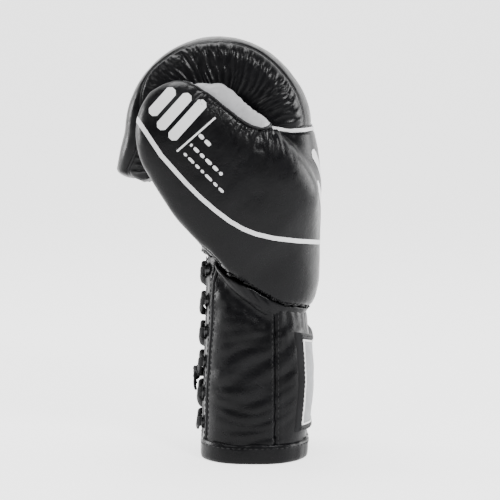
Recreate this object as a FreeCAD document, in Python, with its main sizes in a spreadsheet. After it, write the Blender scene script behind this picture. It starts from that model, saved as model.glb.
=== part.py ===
"""A lace-up boxing glove for the right hand, as a parametric FreeCAD document.

The glove stands on its cuff.  The origin is the middle of the cuff's mouth, +Z runs up the forearm
to the knuckles, +X points out of the back of the hand, and -Y is the thumb side.  Lengths are in mm.

Every soft part is a shell between two envelopes.  An envelope is a loft through rounded-rectangle
sections, and one family of sections gives several envelopes, each drawn in or out by an inset.
"""
import FreeCAD, Part
import Sketcher
import math
import os

Vector = FreeCAD.Vector
doc = FreeCAD.newDocument("boxing_glove")
dims = doc.addObject("Spreadsheet::Sheet", "Dims")

# ---------------------------------------------------------------- driving dimensions
SIZES = {
    # layers of the wall, from the outside in
    "leather": 1.5, "slack": 0.2, "lining": 0.8,
    "cuff_wall": 7.5,
    # cuff: side seams, lacing gap, eyelet facing and hem
    "seam_x": 17.0, "palm_seam_x": 9.0, "seam_gap": 0.3, "gap_half": 13.0, "facing_half": 30.0,
    "welt_half": 0.8, "welt_proud": 1.2, "hem_high": 15.0, "hem_proud": 1.3, "hem_floor": 1.8,
    # wrist joint: the pivot, the slope of the crease and the room the joint needs
    "wrist_x": 2.0, "wrist_z": 137.0, "wrist_slope": 28.0, "wrist_room": 4.2, "wrist_slot": 0.6,
    # knuckle joint: the curl centre, its pivot on the inner wall and its room
    "curl_x": -27.0, "curl_z": 256.0,
    "knuckle_x": -8.5, "knuckle_room": 7.0, "knuckle_slot": 0.4,
    "gusset_thumb": -33.0, "gusset_little": 47.0, "panel_radius": 46.0, "foam_split": 61.0,
    "welt_finger": 1.4, "welt_ease": 0.02, "tip_front": -83.5, "tip_back": 3.0,
    # thumb: its axis leans 45 degrees, and these are places along it and across it
    "thumb_lean": 45.0, "thumb_base": 170.0, "thumb_mid": 140.0, "thumb_slot": 0.4,
    "thumb_welt": 1.2, "thumb_air": 0.8,
    # eyelets and lace
    "rows": 6, "row_first": 27.5, "row_pitch": 24.0, "eyelet_y": 20.0,
    "eyelet_hole": 2.9, "eyelet_shank": 3.5, "eyelet_flange": 5.2, "flange_thick": 0.8,
    "rod_start": -4.0, "rod_long": 16.0,
    "lace_radius": 1.8, "lace_out": 3.6, "lace_in": 3.2, "lace_over": 4.8, "lace_under": -3.0,
    "lace_dip": 8.0, "lace_tucked": 9.0, "lace_at_flap": 11.0, "lace_off_flap": 13.5,
    "knot_row": 1, "knot_out": 8.8, "knot_deep": 3.0,
    "knot_wide": 6.5, "knot_high": 5.5, "knot_tail": 14.0,
    # wrist patch on the back of the cuff
    "patch_half": 38.0, "patch_low": 23.0, "patch_high": 95.0, "patch_border": 6.0,
    "patch_line": 1.8, "patch_back": 1.8, "patch_relief": 0.6,
    # tongue and grip bar
    "tongue_inset": 15.5, "tongue_leather": 1.2, "tongue_foam": 3.0, "tongue_half": 27.0,
    "tongue_low": 14.0, "tongue_high": 141.0, "tongue_front": -12.0,
    "bar_x": -14.8, "bar_z": 243.0, "bar_radius": 5.0, "bar_thumb_end": -30.0, "bar_little_end": 44.0,
    # knuckle band
    "band_high": 5.0, "band_proud": 0.7,
}

# One row a section: x, y, z of its middle, tilt towards -X, half thickness, half width, corner radius.
FIELDS = ("x", "y", "z", "tilt", "thick", "wide", "corner")
SECTIONS = {
    "cuff": [
        (0, 0, -5, 0, 40, 52, 34),
        (1.5, 0, 24, 0, 41, 52, 34),
        (3.5, 0, 60, 0, 42, 51, 34),
        (3, 0, 112, 0, 39.5, 48.5, 33),
        (2, 0, 175, 0, 38, 47, 32),
    ],
    "hand": [
        (-12, 0, 110, -28, 42, 48, 33),
        (3, -1, 138, -27, 44.5, 51, 35),
        (7, -5, 168, -14, 47, 60, 36),
        (13, -5, 197, 0, 41.5, 61, 34),
        (21, 3.5, 227, 0, 32, 54.5, 24),
        (19, 7.5, 256, 0, 27, 52.5, 20),
        (18, 7.5, 266, 2, 27, 52.5, 20),
    ],
    "hand_room": [
        (0, 0, 90, 0, 27, 37, 24),
        (3, 0, 137, 0, 27, 38, 24),
        (8, 0, 180, 0, 24, 43, 21),
        (13.5, 4, 225, 0, 14, 44, 12),
        (11, 7.5, 256, 0, 11, 43, 9.5),
        (10.5, 7.5, 275, 0, 11, 43, 9.5),
    ],
    "fingers": [
        (19, 7.5, 244, 0, 27, 52.5, 20),
        (19, 7.5, 258, 3, 27, 52.5, 20),
        (8.2, 7.5, 285.6, 40, 27, 52, 20),
        (-27, 7.5, 302, 90, 26.5, 51, 20),
        (-59.5, 7.5, 288.5, 135, 26, 49, 19),
        (-74.5, 7.5, 260, 172, 25.5, 47, 18),
        (-83.5, 7.5, 236, 178, 21, 44, 15),
        (-86.5, 7.5, 219, 180, 16.5, 40, 13),
    ],
    "finger_room": [
        (10.5, 7.5, 240, 0, 11, 43, 9.5),
        (11, 7.5, 258, 3, 11, 43, 9.5),
        (2, 7.5, 280.5, 40, 11, 42, 9.5),
        (-27, 7.5, 294, 90, 10.5, 41, 9),
        (-54, 7.5, 283, 135, 10, 39, 9),
        (-67, 7.5, 260, 172, 9.5, 37, 8.5),
    ],
}

# The thumb's sections lie along its leaning axis: along, across, y, half thickness, half width, corner.
THUMB_FIELDS = ("along", "across", "y", "thick", "wide", "corner")
THUMB_SECTIONS = {
    "thumb": [
        (158, 140, -63, 49, 17.5, 15),
        (178, 140, -64.5, 49, 18.5, 16),
        (205, 142, -65.5, 46.5, 19, 16.5),
        (228, 143, -65.5, 39, 18.5, 16),
        (247, 142, -64.5, 26, 15.5, 13.5),
        (256, 142, -63.5, 15, 11, 9),
    ],
    "web": [
        (178, 140, -64.5, 49, 18.5, 16),
        (164, 140, -63.5, 49, 18, 15.5),
        (138, 138, -57, 45, 15, 13),
        (105, 134, -50, 33, 10, 8.5),
    ],
    "thumb_room": [
        (116, 137, -34, 13, 11, 9.5),
        (150, 139, -52, 14, 10.5, 9),
        (180, 140, -62, 14.5, 10, 9),
        (215, 141, -64.5, 14, 10, 9),
        (236, 142, -64.5, 11, 8.5, 7.5),
    ],
}


def fill_sheet():
    """Writes every driving dimension to the sheet, each cell with its alias."""
    cells = dict(SIZES)
    for table, fields in ((SECTIONS, FIELDS), (THUMB_SECTIONS, THUMB_FIELDS)):
        for family, rows in table.items():
            for i, row in enumerate(rows):
                for field, value in zip(fields, row):
                    cells[f"{family}_s{i}_{field}"] = value
    for row, (alias, value) in enumerate(cells.items(), 1):
        dims.set(f"A{row}", alias)
        dims.set(f"B{row}", str(value))
        dims.setAlias(f"B{row}", alias)
    doc.recompute()


def D(alias):
    """The sheet's value of a dimension."""
    return float(getattr(dims, alias))


# Cutting boxes and rods reach well past the glove, to these ends.
REACH = 400
NEAR, FAR, UNDER, OVER = "-200", "200", "-50", "400"


# ---------------------------------------------------------------- parametric building blocks
def bound(obj, **expressions):
    """Binds properties of an object to expressions over the sheet."""
    for prop, text in expressions.items():
        obj.setExpression(prop.replace("__", "."), text)
    return obj


def leaning(x, y, z, tilt):
    """A placement expression: at x, y, z with the normal leaning from +Z towards -X."""
    return f"placement(vector({x}; {y}; {z}); rotation(vector(0; 1; 0); -({tilt})))"


def rounded_section(name, place, thick, wide, corner):
    """A rounded rectangle about its own middle, thickness along its x and width along its y."""
    sketch = doc.addObject("Sketcher::SketchObject", name)
    a, b, r = 20.0, 30.0, 8.0
    ends = [((a, r - b), (a, b - r)), ((a - r, b), (r - a, b)),
            ((-a, b - r), (-a, r - b)), ((r - a, -b), (a - r, -b))]
    centres = [(a - r, b - r), (r - a, b - r), (r - a, r - b), (a - r, r - b)]
    for p, q in ends:
        sketch.addGeometry(Part.LineSegment(Vector(*p, 0), Vector(*q, 0)), False)
    for i, c in enumerate(centres):
        circle = Part.Circle(Vector(*c, 0), Vector(0, 0, 1), r)
        sketch.addGeometry(Part.ArcOfCircle(circle, i * math.pi / 2, (i + 1) * math.pi / 2), False)
    rules = []
    for i in range(4):
        arc, after = 4 + i, (i + 1) % 4
        rules += [Sketcher.Constraint("Tangent", i, 2, arc, 1),
                  Sketcher.Constraint("Tangent", arc, 2, after, 1)]
    rules += [Sketcher.Constraint("Vertical", 0), Sketcher.Constraint("Vertical", 2),
              Sketcher.Constraint("Horizontal", 1), Sketcher.Constraint("Horizontal", 3)]
    rules += [Sketcher.Constraint("Equal", 4, 4 + i) for i in (1, 2, 3)]
    rules += [Sketcher.Constraint("Symmetric", 4, 3, 6, 3, -1, 1)]
    sketch.addConstraint(rules)
    for label, rule in (("thick", Sketcher.Constraint("DistanceX", 2, 1, 0, 2, 2 * a)),
                        ("wide", Sketcher.Constraint("DistanceY", 3, 1, 1, 2, 2 * b)),
                        ("corner", Sketcher.Constraint("Radius", 4, r))):
        sketch.renameConstraint(sketch.addConstraint(rule), label)
    return bound(sketch, Placement=place, Constraints__thick=f"2 * ({thick})",
                 Constraints__wide=f"2 * ({wide})", Constraints__corner=corner)


def place_of(family, i, back):
    """The placement expression of a section, moved back along its normal by an expression."""
    cell = f"Dims.{family}_s{i}_"
    if family in SECTIONS:
        tilt = f"{cell}tilt"
        x = f"{cell}x + sin({tilt}) * ({back})"
        z = f"{cell}z - cos({tilt}) * ({back})"
        return leaning(x, f"{cell}y", z, tilt)
    lean = "Dims.thumb_lean"
    along, across = f"({cell}along - ({back}))", f"{cell}across"
    x = f"{across} * cos({lean}) - {along} * sin({lean})"
    z = f"{across} * sin({lean}) + {along} * cos({lean})"
    return leaning(x, f"{cell}y", z, lean)


def envelope(family, inset, closed_end=False):
    """The loft through a family's sections, each drawn in by the inset expression.

    With a closed end, the last section also moves back by the inset, so the wall closes over it.
    """
    rows = (SECTIONS if family in SECTIONS else THUMB_SECTIONS)[family]
    sketches = []
    for i in range(len(rows)):
        back = inset if closed_end and i == len(rows) - 1 else "0"
        cell = f"Dims.{family}_s{i}_"
        sketches.append(rounded_section(
            f"{family}_section", place_of(family, i, back), f"{cell}thick - ({inset})",
            f"{cell}wide - ({inset})", f"{cell}corner - ({inset})"))
    loft = doc.addObject("Part::Loft", f"{family}_envelope")
    loft.Sections = sketches
    loft.Solid = True
    loft.Ruled = False
    return loft


def block(name, low, high):
    """A box between two corners, each three expressions."""
    box = doc.addObject("Part::Box", name)
    size = [f"({h}) - ({a})" for a, h in zip(low, high)]
    place = f"placement(vector({low[0]}; {low[1]}; {low[2]}); rotation(vector(0; 0; 1); 0))"
    return bound(box, Length=size[0], Width=size[1], Height=size[2], Placement=place)


def half_space(name, x, z, tilt, above):
    """A very large box on one side of a plane through x, z that leans by tilt."""
    box = doc.addObject("Part::Box", name)
    box.Length = box.Width = box.Height = REACH
    drop = 0 if above else -REACH
    corner = f"placement(vector({-REACH / 2}; {-REACH / 2}; {drop}); rotation(vector(0; 0; 1); 0))"
    return bound(box, Placement=f"{leaning(x, 0, z, tilt)} * {corner}")


def across_cylinder(name, x, z, radius):
    """A long cylinder along Y."""
    rod = doc.addObject("Part::Cylinder", name)
    rod.Height = REACH
    turned = "rotation(vector(1; 0; 0); -90)"
    return bound(rod, Radius=radius, Placement=f"placement(vector({x}; {-REACH / 2}; {z}); {turned})")


def cut(base, *tools):
    """base with each tool taken away."""
    for tool in tools:
        made = doc.addObject("Part::Cut", "cut")
        made.Base, made.Tool = base, tool
        base = made
    return base


def both(first, second):
    """What two objects share."""
    made = doc.addObject("Part::Common", "common")
    made.Base, made.Tool = first, second
    return made


def joined(*objects):
    """Several objects as one."""
    made = doc.addObject("Part::MultiFuse", "fuse")
    made.Shapes = list(objects)
    return made


NODES = []


def node(obj, label):
    """Names an object as one of the glove's pieces."""
    obj.Label = label
    NODES.append(obj)
    return obj


def joint_spaces():
    """The half spaces that part the cuff, hand, fingers and thumb, with each joint's room."""
    slope, room, slot = "-Dims.wrist_slope", "Dims.wrist_room", "Dims.wrist_slot"
    spaces = {}
    for name, way, above in (("above_wrist", "-", True), ("below_wrist", "+", False)):
        x = f"Dims.wrist_x {way} sin(Dims.wrist_slope) * {slot}"
        z = f"Dims.wrist_z {way} cos(Dims.wrist_slope) * {slot}"
        spaces[name] = [half_space(name, x, z, f"{slope} {sign} {room}", above) for sign in "+-"]
    spaces["above_knuckle"] = half_space(
        "above_knuckle", "Dims.knuckle_x", "Dims.curl_z - Dims.knuckle_slot", "0", True)
    spaces["below_knuckle"] = half_space(
        "below_knuckle", "Dims.knuckle_x", "Dims.curl_z + Dims.knuckle_slot", "Dims.knuckle_room", False)
    lean = "Dims.thumb_lean"
    for name, sign, above in (("beyond_thumb_base", "-", True), ("before_thumb_base", "+", False)):
        along = f"(Dims.thumb_base {sign} Dims.thumb_slot)"
        x = f"Dims.thumb_mid * cos({lean}) - {along} * sin({lean})"
        z = f"Dims.thumb_mid * sin({lean}) + {along} * cos({lean})"
        spaces[name] = half_space(name, x, z, lean, above)
    return spaces


def cuff_parts(spaces):
    """The back of the cuff and its two lacing flaps, each with its layers, hem, welt and facing."""
    skin = "Dims.leather + Dims.slack"
    wall = "Dims.cuff_wall"
    room = "Dims.cuff_wall + Dims.slack + Dims.lining"
    outer = envelope("cuff", "0")
    layers = {
        "panel": (outer, envelope("cuff", "Dims.leather")),
        "padding": (envelope("cuff", skin), envelope("cuff", wall)),
        "lining": (envelope("cuff", f"{wall} + Dims.slack"), envelope("cuff", room)),
    }
    cavity = layers["lining"][1]
    floor = block("under_hem", (NEAR, NEAR, UNDER), (FAR, FAR, "Dims.hem_floor + Dims.slack"))
    gap = block("lacing_gap", (NEAR, "-Dims.gap_half", UNDER), ("0", "Dims.gap_half", OVER))
    seam = "Dims.seam_x"
    front_of_seam = block("front_of_seam", (NEAR, NEAR, UNDER), (f"{seam} + Dims.seam_gap", FAR, OVER))
    thumb_half = block("thumb_half", (NEAR, NEAR, UNDER), (f"{seam} - Dims.seam_gap", "0", OVER))
    little_half = block("little_half", (NEAR, "0", UNDER), (f"{seam} - Dims.seam_gap", FAR, OVER))
    middle = block("between_welts", (NEAR, "-Dims.facing_half", UNDER), ("0", "Dims.facing_half", OVER))
    wide = "(Dims.facing_half + 2 * Dims.welt_half)"
    to_welt = block("with_welts", (NEAR, f"-{wide}", UNDER), ("0", wide, OVER))
    shanks = joined(*[eyelet_rod(side, row, "Dims.eyelet_shank + Dims.slack / 2")
                      for side in (-1, 1) for row in range(int(D("rows")))])

    hem_band = cut(both(envelope("cuff", "-Dims.hem_proud"),
                        block("hem_space", (NEAR, NEAR, "0"), (FAR, FAR, "Dims.hem_high"))),
                   cut(envelope("cuff", "-Dims.slack"),
                       block("hem_lip", (NEAR, NEAR, UNDER), (FAR, FAR, "Dims.hem_floor"))), cavity)
    below_welts = block("below_welts", (NEAR, NEAR, UNDER), (FAR, FAR, "Dims.hem_high + Dims.slack"))
    welt_shell = cut(both(envelope("cuff", "-Dims.welt_proud"), to_welt), middle,
                     envelope("cuff", "Dims.leather"), below_welts, *spaces["above_wrist"])

    shells = {layer: cut(big, small, floor, *spaces["above_wrist"]) for layer, (big, small) in layers.items()}
    for layer, shell in shells.items():
        node(cut(shell, front_of_seam), f"cuff_back_{layer}")
    node(cut(hem_band, front_of_seam), "cuff_back_hem_binding")
    for side, half in (("thumb", thumb_half), ("little", little_half)):
        flap = f"{side}_flap"
        open_panel = both(shells["panel"], half)
        node(cut(open_panel, to_welt), f"{flap}_panel")
        node(cut(both(open_panel, middle), gap, shanks), f"{flap}_eyelet_facing")
        for layer in ("padding", "lining"):
            node(cut(both(shells[layer], half), gap, shanks), f"{flap}_{layer}")
        node(both(welt_shell, half), f"{flap}_welt")
        node(cut(both(hem_band, half), gap), f"{flap}_hem_binding")


def eyelet_x(row):
    """Where the flat of the cuff's palm side lies at a row of eyelets."""
    z = D("row_first") + row * D("row_pitch")
    cells = [f"cuff_s{i}_" for i in range(len(SECTIONS["cuff"]))]
    table = [(D(cell + "z"), D(cell + "x") - D(cell + "thick")) for cell in cells]
    for (z0, x0), (z1, x1) in zip(table, table[1:]):
        if z <= z1:
            return x0 + (x1 - x0) * (z - z0) / (z1 - z0)
    return table[-1][1]


def row_z(row):
    return f"Dims.row_first + {row} * Dims.row_pitch"


def eyelet_rod(side, row, radius, start=None, length=None):
    """A rod along X through an eyelet, from its start outside the leather."""
    start = D("rod_start") if start is None else start
    rod = doc.addObject("Part::Cylinder", "eyelet_rod")
    rod.Height = D("rod_long") if length is None else length
    place = (f"placement(vector({eyelet_x(row) + start}; {side} * Dims.eyelet_y; {row_z(row)}); "
             "rotation(vector(0; 1; 0); 90))")
    return bound(rod, Radius=radius, Placement=place)


def eyelets():
    """One ring through the flap at each row, with a flange on the outside."""
    depth = D("cuff_wall") + D("slack") + D("lining")
    flange_low = 2 * D("slack")
    flange_top = flange_low + D("flange_thick")
    for side, flap in ((-1, "thumb_flap"), (1, "little_flap")):
        rings = []
        for row in range(int(D("rows"))):
            flange = eyelet_rod(side, row, "Dims.eyelet_flange", -flange_top, D("flange_thick"))
            shank = eyelet_rod(side, row, "Dims.eyelet_shank", -flange_top, depth + flange_low)
            hole = eyelet_rod(side, row, "Dims.eyelet_hole")
            rings.append(cut(joined(flange, shank), hole))
        node(joined(*rings), f"{flap}_eyelets")


def rounded_path(points):
    """Straight runs joined by tangent arcs, each as large as the two runs beside it allow.

    Returns the wire and the radius of its tightest arc.
    """
    reach = 0.45
    edges, radii, start = [], [], points[0]
    for before, corner, after in zip(points, points[1:], points[2:]):
        back, on = before - corner, after - corner
        tangent = reach * min(back.Length, on.Length)
        back.normalize()
        on.normalize()
        half_turn = (math.pi - back.getAngle(on)) / 2
        radius = tangent / math.tan(half_turn)
        first, last = corner + back * tangent, corner + on * tangent
        middle = (back + on).normalize() * (radius / math.cos(half_turn) - radius)
        edges += [Part.LineSegment(start, first).toShape(),
                  Part.Arc(first, corner + middle, last).toShape()]
        start = last
        radii.append(radius)
    edges.append(Part.LineSegment(start, points[-1]).toShape())
    return Part.Wire(edges), min(radii)


def face_point(row, out, y):
    """A point that stands out from the cuff's palm side, at a row of eyelets or between two."""
    return Vector(eyelet_x(row) - out, y, D("row_first") + row * D("row_pitch"))


def strand_points(side, over, with_bar):
    """The route of one half of the lace, from the bottom row up to its tucked end.

    It goes in through an eyelet, up under the flap, out through the gap and over to the next row.
    """
    inside = -(D("cuff_wall") + D("slack") + D("lining") + D("lace_in"))
    outside, eyelet_y = D("lace_out"), D("eyelet_y")
    under_edge, over_edge = D("lace_at_flap"), D("lace_off_flap")
    points = []
    if with_bar:
        dip = Vector(0, 0, D("lace_dip"))
        points += [face_point(0, inside + 1.1 * D("lace_radius"), -side * eyelet_y),
                   face_point(0, outside, -side * eyelet_y),
                   face_point(0, outside, -side * over_edge) - dip / 5,
                   face_point(0, outside + 1, 0) - dip,
                   face_point(0, outside, side * over_edge) - dip / 5,
                   face_point(0, outside, side * eyelet_y)]
    last = int(D("rows")) - 1
    for row in range(last):
        points.append(face_point(row, inside, side * eyelet_y))
        points.append(face_point(row + 0.5 - under_edge / eyelet_y / 2, inside, side * under_edge))
        points.append(face_point(row + 0.5, over, 0))
        side = -side
        points.append(face_point(row + 0.5 + over_edge / eyelet_y / 2, outside, side * over_edge))
        points.append(face_point(row + 1, outside, side * eyelet_y))
    points.append(face_point(last, inside, side * eyelet_y))
    points.append(face_point(last, inside, side * (eyelet_y - D("lace_tucked"))))
    return points


def lace():
    """The two halves of the lace, which cross in the gap, and the knot that stops them."""
    routes = {"lace_first_strand": strand_points(-1, D("lace_over"), True),
              "lace_second_strand": strand_points(1, D("lace_under"), False)}
    for name, points in routes.items():
        path = doc.addObject("Part::Feature", f"{name}_path")
        path.Shape, tightest = rounded_path(points)
        section = bound(doc.addObject("Part::Circle", f"{name}_section"), Radius="Dims.lace_radius")
        along = points[1] - points[0]
        section.Placement = FreeCAD.Placement(points[0], FreeCAD.Rotation(Vector(0, 0, 1), along))
        tube = doc.addObject("Part::Sweep", name)
        tube.Sections = [section]
        tube.Spine = (path, [f"Edge{i + 1}" for i in range(len(path.Shape.Edges))])
        tube.Solid = True
        tube.Frenet = False
        node(tube, name)
        print(f"{name}: {path.Shape.Length:.0f} mm, tightest bend {tightest:.1f} mm")
    knot_at = face_point(D("knot_row") + 0.5, D("knot_out"), 0)
    knot = doc.addObject("Part::Ellipsoid", "knot_body")
    bound(knot, Radius1="Dims.knot_high", Radius2="Dims.knot_deep", Radius3="Dims.knot_wide")
    knot.Placement.Base = knot_at
    tail = doc.addObject("Part::Cylinder", "knot_tail")
    bound(tail, Radius="Dims.lace_radius", Height="Dims.knot_tail")
    tail.Placement.Base = knot_at - Vector(0, 0, D("knot_tail"))
    node(joined(knot, tail), "lace_knot")


def patch():
    """The patch on the back of the cuff: its backing, the raised frame line and the field."""
    def plate(half, low, high):
        return block("patch_block", ("0", f"-({half})", low), (FAR, half, high))

    edge, line = "Dims.patch_border", "Dims.patch_line"
    levels = [envelope("cuff", f"-({t})") for t in (
        "Dims.slack", "Dims.slack + Dims.patch_back", "2 * Dims.slack + Dims.patch_back",
        "2 * Dims.slack + Dims.patch_back + Dims.patch_relief")]
    backing = cut(levels[1], levels[0])
    relief = cut(levels[3], levels[2])
    frames = [plate(f"Dims.patch_half - {t}", f"Dims.patch_low + {t}", f"Dims.patch_high - {t}")
              for t in ("0", edge, f"({edge} + {line})", f"({edge} + {line} + Dims.slack)")]
    node(both(backing, frames[0]), "wrist_patch_backing")
    node(both(relief, cut(frames[1], frames[2])), "wrist_patch_frame")
    node(both(relief, frames[3]), "wrist_patch_field")


def tongue():
    """The padded tongue under the lacing: a leather face, a foam core and a lining."""
    space = block("tongue_space", (NEAR, "-Dims.tongue_half", "Dims.tongue_low"),
                  ("Dims.tongue_front", "Dims.tongue_half", "Dims.tongue_high"))
    inset = "Dims.tongue_inset"
    for name, thick in (("tongue_leather", "Dims.tongue_leather"), ("tongue_padding", "Dims.tongue_foam"),
                        ("tongue_lining", "Dims.lining")):
        outside = envelope("cuff", inset)
        inset = f"{inset} + {thick}"
        node(both(cut(outside, envelope("cuff", inset)), space), name)
        inset = f"{inset} + Dims.slack"


def hand_parts(spaces):
    """The hand's shell: back, palm, padding and lining, the knuckle band and the grip bar."""
    skin = "Dims.leather + Dims.slack"
    outer, inner = envelope("hand", "0"), envelope("hand", "Dims.leather")
    foam = envelope("hand", skin)
    room, lining = envelope("hand_room", "0"), envelope("hand_room", "-Dims.lining")
    around = envelope("hand_room", "-Dims.lining - Dims.slack")
    tunnel = envelope("thumb_room", "0", True)
    ends = [*spaces["below_wrist"], spaces["above_knuckle"]]
    palm_side = block("palm_side", (NEAR, NEAR, UNDER), ("Dims.palm_seam_x - Dims.seam_gap", FAR, OVER))
    back_side = block("back_side", ("Dims.palm_seam_x", NEAR, UNDER), (FAR, FAR, OVER))
    skin_shell = cut(outer, inner, tunnel, *ends)
    band_low = block("under_band", (NEAR, NEAR, UNDER),
                     (FAR, FAR, "Dims.curl_z - Dims.knuckle_slot - Dims.band_high"))
    band = cut(envelope("hand", "-Dims.band_proud"), envelope("hand", "-Dims.slack"), band_low,
               spaces["above_knuckle"])
    node(both(skin_shell, back_side), "hand_back_panel")
    node(both(skin_shell, palm_side), "palm_panel")
    node(both(band, back_side), "knuckle_band")
    foam_shell = cut(foam, around, tunnel, *ends)
    node(both(foam_shell, back_side), "hand_back_padding")
    node(both(foam_shell, palm_side), "palm_padding")
    node(cut(lining, room, tunnel, *ends), "hand_lining")
    rod = across_cylinder("grip_rod", "Dims.bar_x", "Dims.bar_z", "Dims.bar_radius")
    width = block("grip_width", (NEAR, "Dims.bar_thumb_end", "0"), (FAR, "Dims.bar_little_end", OVER))
    node(cut(both(rod, width), outer), "grip_bar")
    return outer, tunnel


def finger_parts(spaces):
    """The curled finger compartment: four leather panels, two pads, the lining and two welts."""
    skin = "Dims.leather + Dims.slack"
    outer, inner = envelope("fingers", "0"), envelope("fingers", "Dims.leather", True)
    foam = envelope("fingers", skin, True)
    room = envelope("finger_room", "0", True)
    lining = envelope("finger_room", "-Dims.lining", True)
    around = envelope("finger_room", "-Dims.lining - Dims.slack", True)
    below = spaces["below_knuckle"]
    low, high = "Dims.gusset_thumb", "Dims.gusset_little"
    middle = block("between_gussets", (NEAR, f"{low} + Dims.welt_finger", "0"),
                   (FAR, f"{high} - Dims.welt_finger", OVER))
    thumb_wall = block("thumb_wall", (NEAR, NEAR, "0"), (FAR, low, OVER))
    little_wall = block("little_wall", (NEAR, high, "0"), (FAR, FAR, OVER))
    core = across_cylinder("curl_core", "Dims.curl_x", "Dims.curl_z", "Dims.panel_radius")
    # Under the curl the inner panel faces the palm, on the hand's side of the fingertips.
    facing = block("tip_facing", ("Dims.tip_front", NEAR, "0"), ("Dims.tip_back", FAR, "Dims.curl_z"))
    inside = joined(core, facing)
    shell = cut(outer, inner, below)
    node(cut(both(shell, middle), inside), "knuckle_panel")
    node(both(both(shell, middle), inside), "finger_inner_panel")
    node(both(shell, thumb_wall), "finger_gusset_thumb_side")
    node(both(shell, little_wall), "finger_gusset_little_side")
    strip = cut(envelope("fingers", "-Dims.welt_finger", True), inner, below)
    edges = {"thumb": (low, f"{low} + Dims.welt_finger"), "little": (f"{high} - Dims.welt_finger", high)}
    for side, (near, far) in edges.items():
        slab = block("welt_slab", (NEAR, f"{near} + Dims.welt_ease", "0"),
                     (FAR, f"{far} - Dims.welt_ease", OVER))
        node(cut(both(strip, slab), inside), f"knuckle_welt_{side}_side")
    foam_shell = cut(foam, around, below)
    split = across_cylinder("foam_split", "Dims.curl_x", "Dims.curl_z", "Dims.foam_split")
    inner_split = across_cylinder("foam_split_inside", "Dims.curl_x", "Dims.curl_z",
                                  "Dims.foam_split - Dims.slack")
    node(cut(foam_shell, split), "knuckle_padding_outer")
    node(both(foam_shell, inner_split), "finger_padding_inner")
    node(cut(lining, room, below), "finger_lining")


def thumb_parts(spaces, hand_outer, tunnel):
    """The thumb: outer and inner panels, welt, padding and lining, and the web pad under it."""
    skin = "Dims.leather + Dims.slack"
    outer, inner = envelope("thumb", "0"), envelope("thumb", "Dims.leather", True)
    foam = envelope("thumb", skin, True)
    lining = envelope("thumb_room", "-Dims.lining", True)
    around = envelope("thumb_room", "-Dims.lining - Dims.slack", True)
    before = spaces["before_thumb_base"]
    lean = "Dims.thumb_lean"
    seam_y = "Dims.thumb_s2_y"
    seam_low, seam_high = f"{seam_y} - Dims.thumb_welt / 2", f"{seam_y} + Dims.thumb_welt / 2"
    outside = block("thumb_outside", (NEAR, NEAR, "0"), (FAR, seam_low, OVER))
    inside = block("thumb_inside", (NEAR, seam_high, "0"), (FAR, FAR, OVER))
    rim = block("thumb_rim", (NEAR, f"{seam_low} + Dims.welt_ease", "0"),
                (FAR, f"{seam_high} - Dims.welt_ease", OVER))
    # The thumb lies against the hand and the fingers, with a little air between them.
    hand_clear = envelope("hand", "-Dims.thumb_air")
    before = joined(before, hand_clear)
    shell = cut(outer, inner, before)
    node(both(shell, outside), "thumb_outer_panel")
    node(both(shell, inside), "thumb_inner_panel")
    proud = envelope("thumb", "-Dims.thumb_welt", True)
    node(both(cut(proud, inner, before), rim), "thumb_welt")
    node(cut(foam, around, before), "thumb_padding")
    node(cut(lining, tunnel, before), "thumb_lining")
    web = cut(envelope("web", "0"), hand_outer, spaces["beyond_thumb_base"], tunnel)
    node(web, "thumb_web_pad")


def main():
    fill_sheet()
    spaces = joint_spaces()
    cuff_parts(spaces)
    eyelets()
    lace()
    patch()
    tongue()
    hand_outer, tunnel = hand_parts(spaces)
    finger_parts(spaces)
    thumb_parts(spaces, hand_outer, tunnel)
    doc.recompute()
    for obj in doc.Objects:
        if "Invalid" in obj.State or "Error" in obj.State:
            raise RuntimeError(f"{obj.Name} ({obj.Label}) failed: {obj.State}")
    os.makedirs("parts", exist_ok=True)
    for obj in NODES:
        shape = obj.Shape
        if shape.isNull() or not shape.isValid() or not shape.Solids:
            raise RuntimeError(f"{obj.Label} has no valid solid")
        shape.exportStep(os.path.join("parts", obj.Label + ".step"))
        print(f"{obj.Label:28s} {len(shape.Solids)} solids {shape.Volume / 1000:8.2f} cm3")


main()
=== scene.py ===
"""The look of a lace-up boxing glove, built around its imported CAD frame."""
import math

import bpy
import numpy as np
from mathutils.bvhtree import BVHTree
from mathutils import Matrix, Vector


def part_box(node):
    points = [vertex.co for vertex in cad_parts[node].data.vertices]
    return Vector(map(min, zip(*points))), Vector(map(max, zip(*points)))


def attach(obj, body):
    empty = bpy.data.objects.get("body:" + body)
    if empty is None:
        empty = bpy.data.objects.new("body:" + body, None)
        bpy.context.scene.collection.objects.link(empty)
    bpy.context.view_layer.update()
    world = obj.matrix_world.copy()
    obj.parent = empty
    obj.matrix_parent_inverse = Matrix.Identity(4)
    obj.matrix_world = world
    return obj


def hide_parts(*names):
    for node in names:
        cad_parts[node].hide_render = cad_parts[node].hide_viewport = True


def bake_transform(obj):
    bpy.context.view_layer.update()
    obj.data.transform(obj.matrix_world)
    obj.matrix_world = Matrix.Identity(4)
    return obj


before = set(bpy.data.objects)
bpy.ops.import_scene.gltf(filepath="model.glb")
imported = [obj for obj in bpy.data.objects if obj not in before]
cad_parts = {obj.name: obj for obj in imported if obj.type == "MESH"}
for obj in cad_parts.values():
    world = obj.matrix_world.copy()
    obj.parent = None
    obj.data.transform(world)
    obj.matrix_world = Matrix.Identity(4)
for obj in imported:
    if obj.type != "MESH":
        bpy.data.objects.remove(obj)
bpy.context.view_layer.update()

MM = 0.001


# ---------------------------------------------------------------- numbers and curves
def smooth(low, high, x):
    """0 below low, 1 above high, and an even ramp between."""
    t = np.clip((x - low) / (high - low), 0.0, 1.0)
    return t * t * (3 - 2 * t)


def near(x, width):
    """A bump of height 1 at x = 0 that fades over a width."""
    return np.exp(-(x / width) ** 2)


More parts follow.
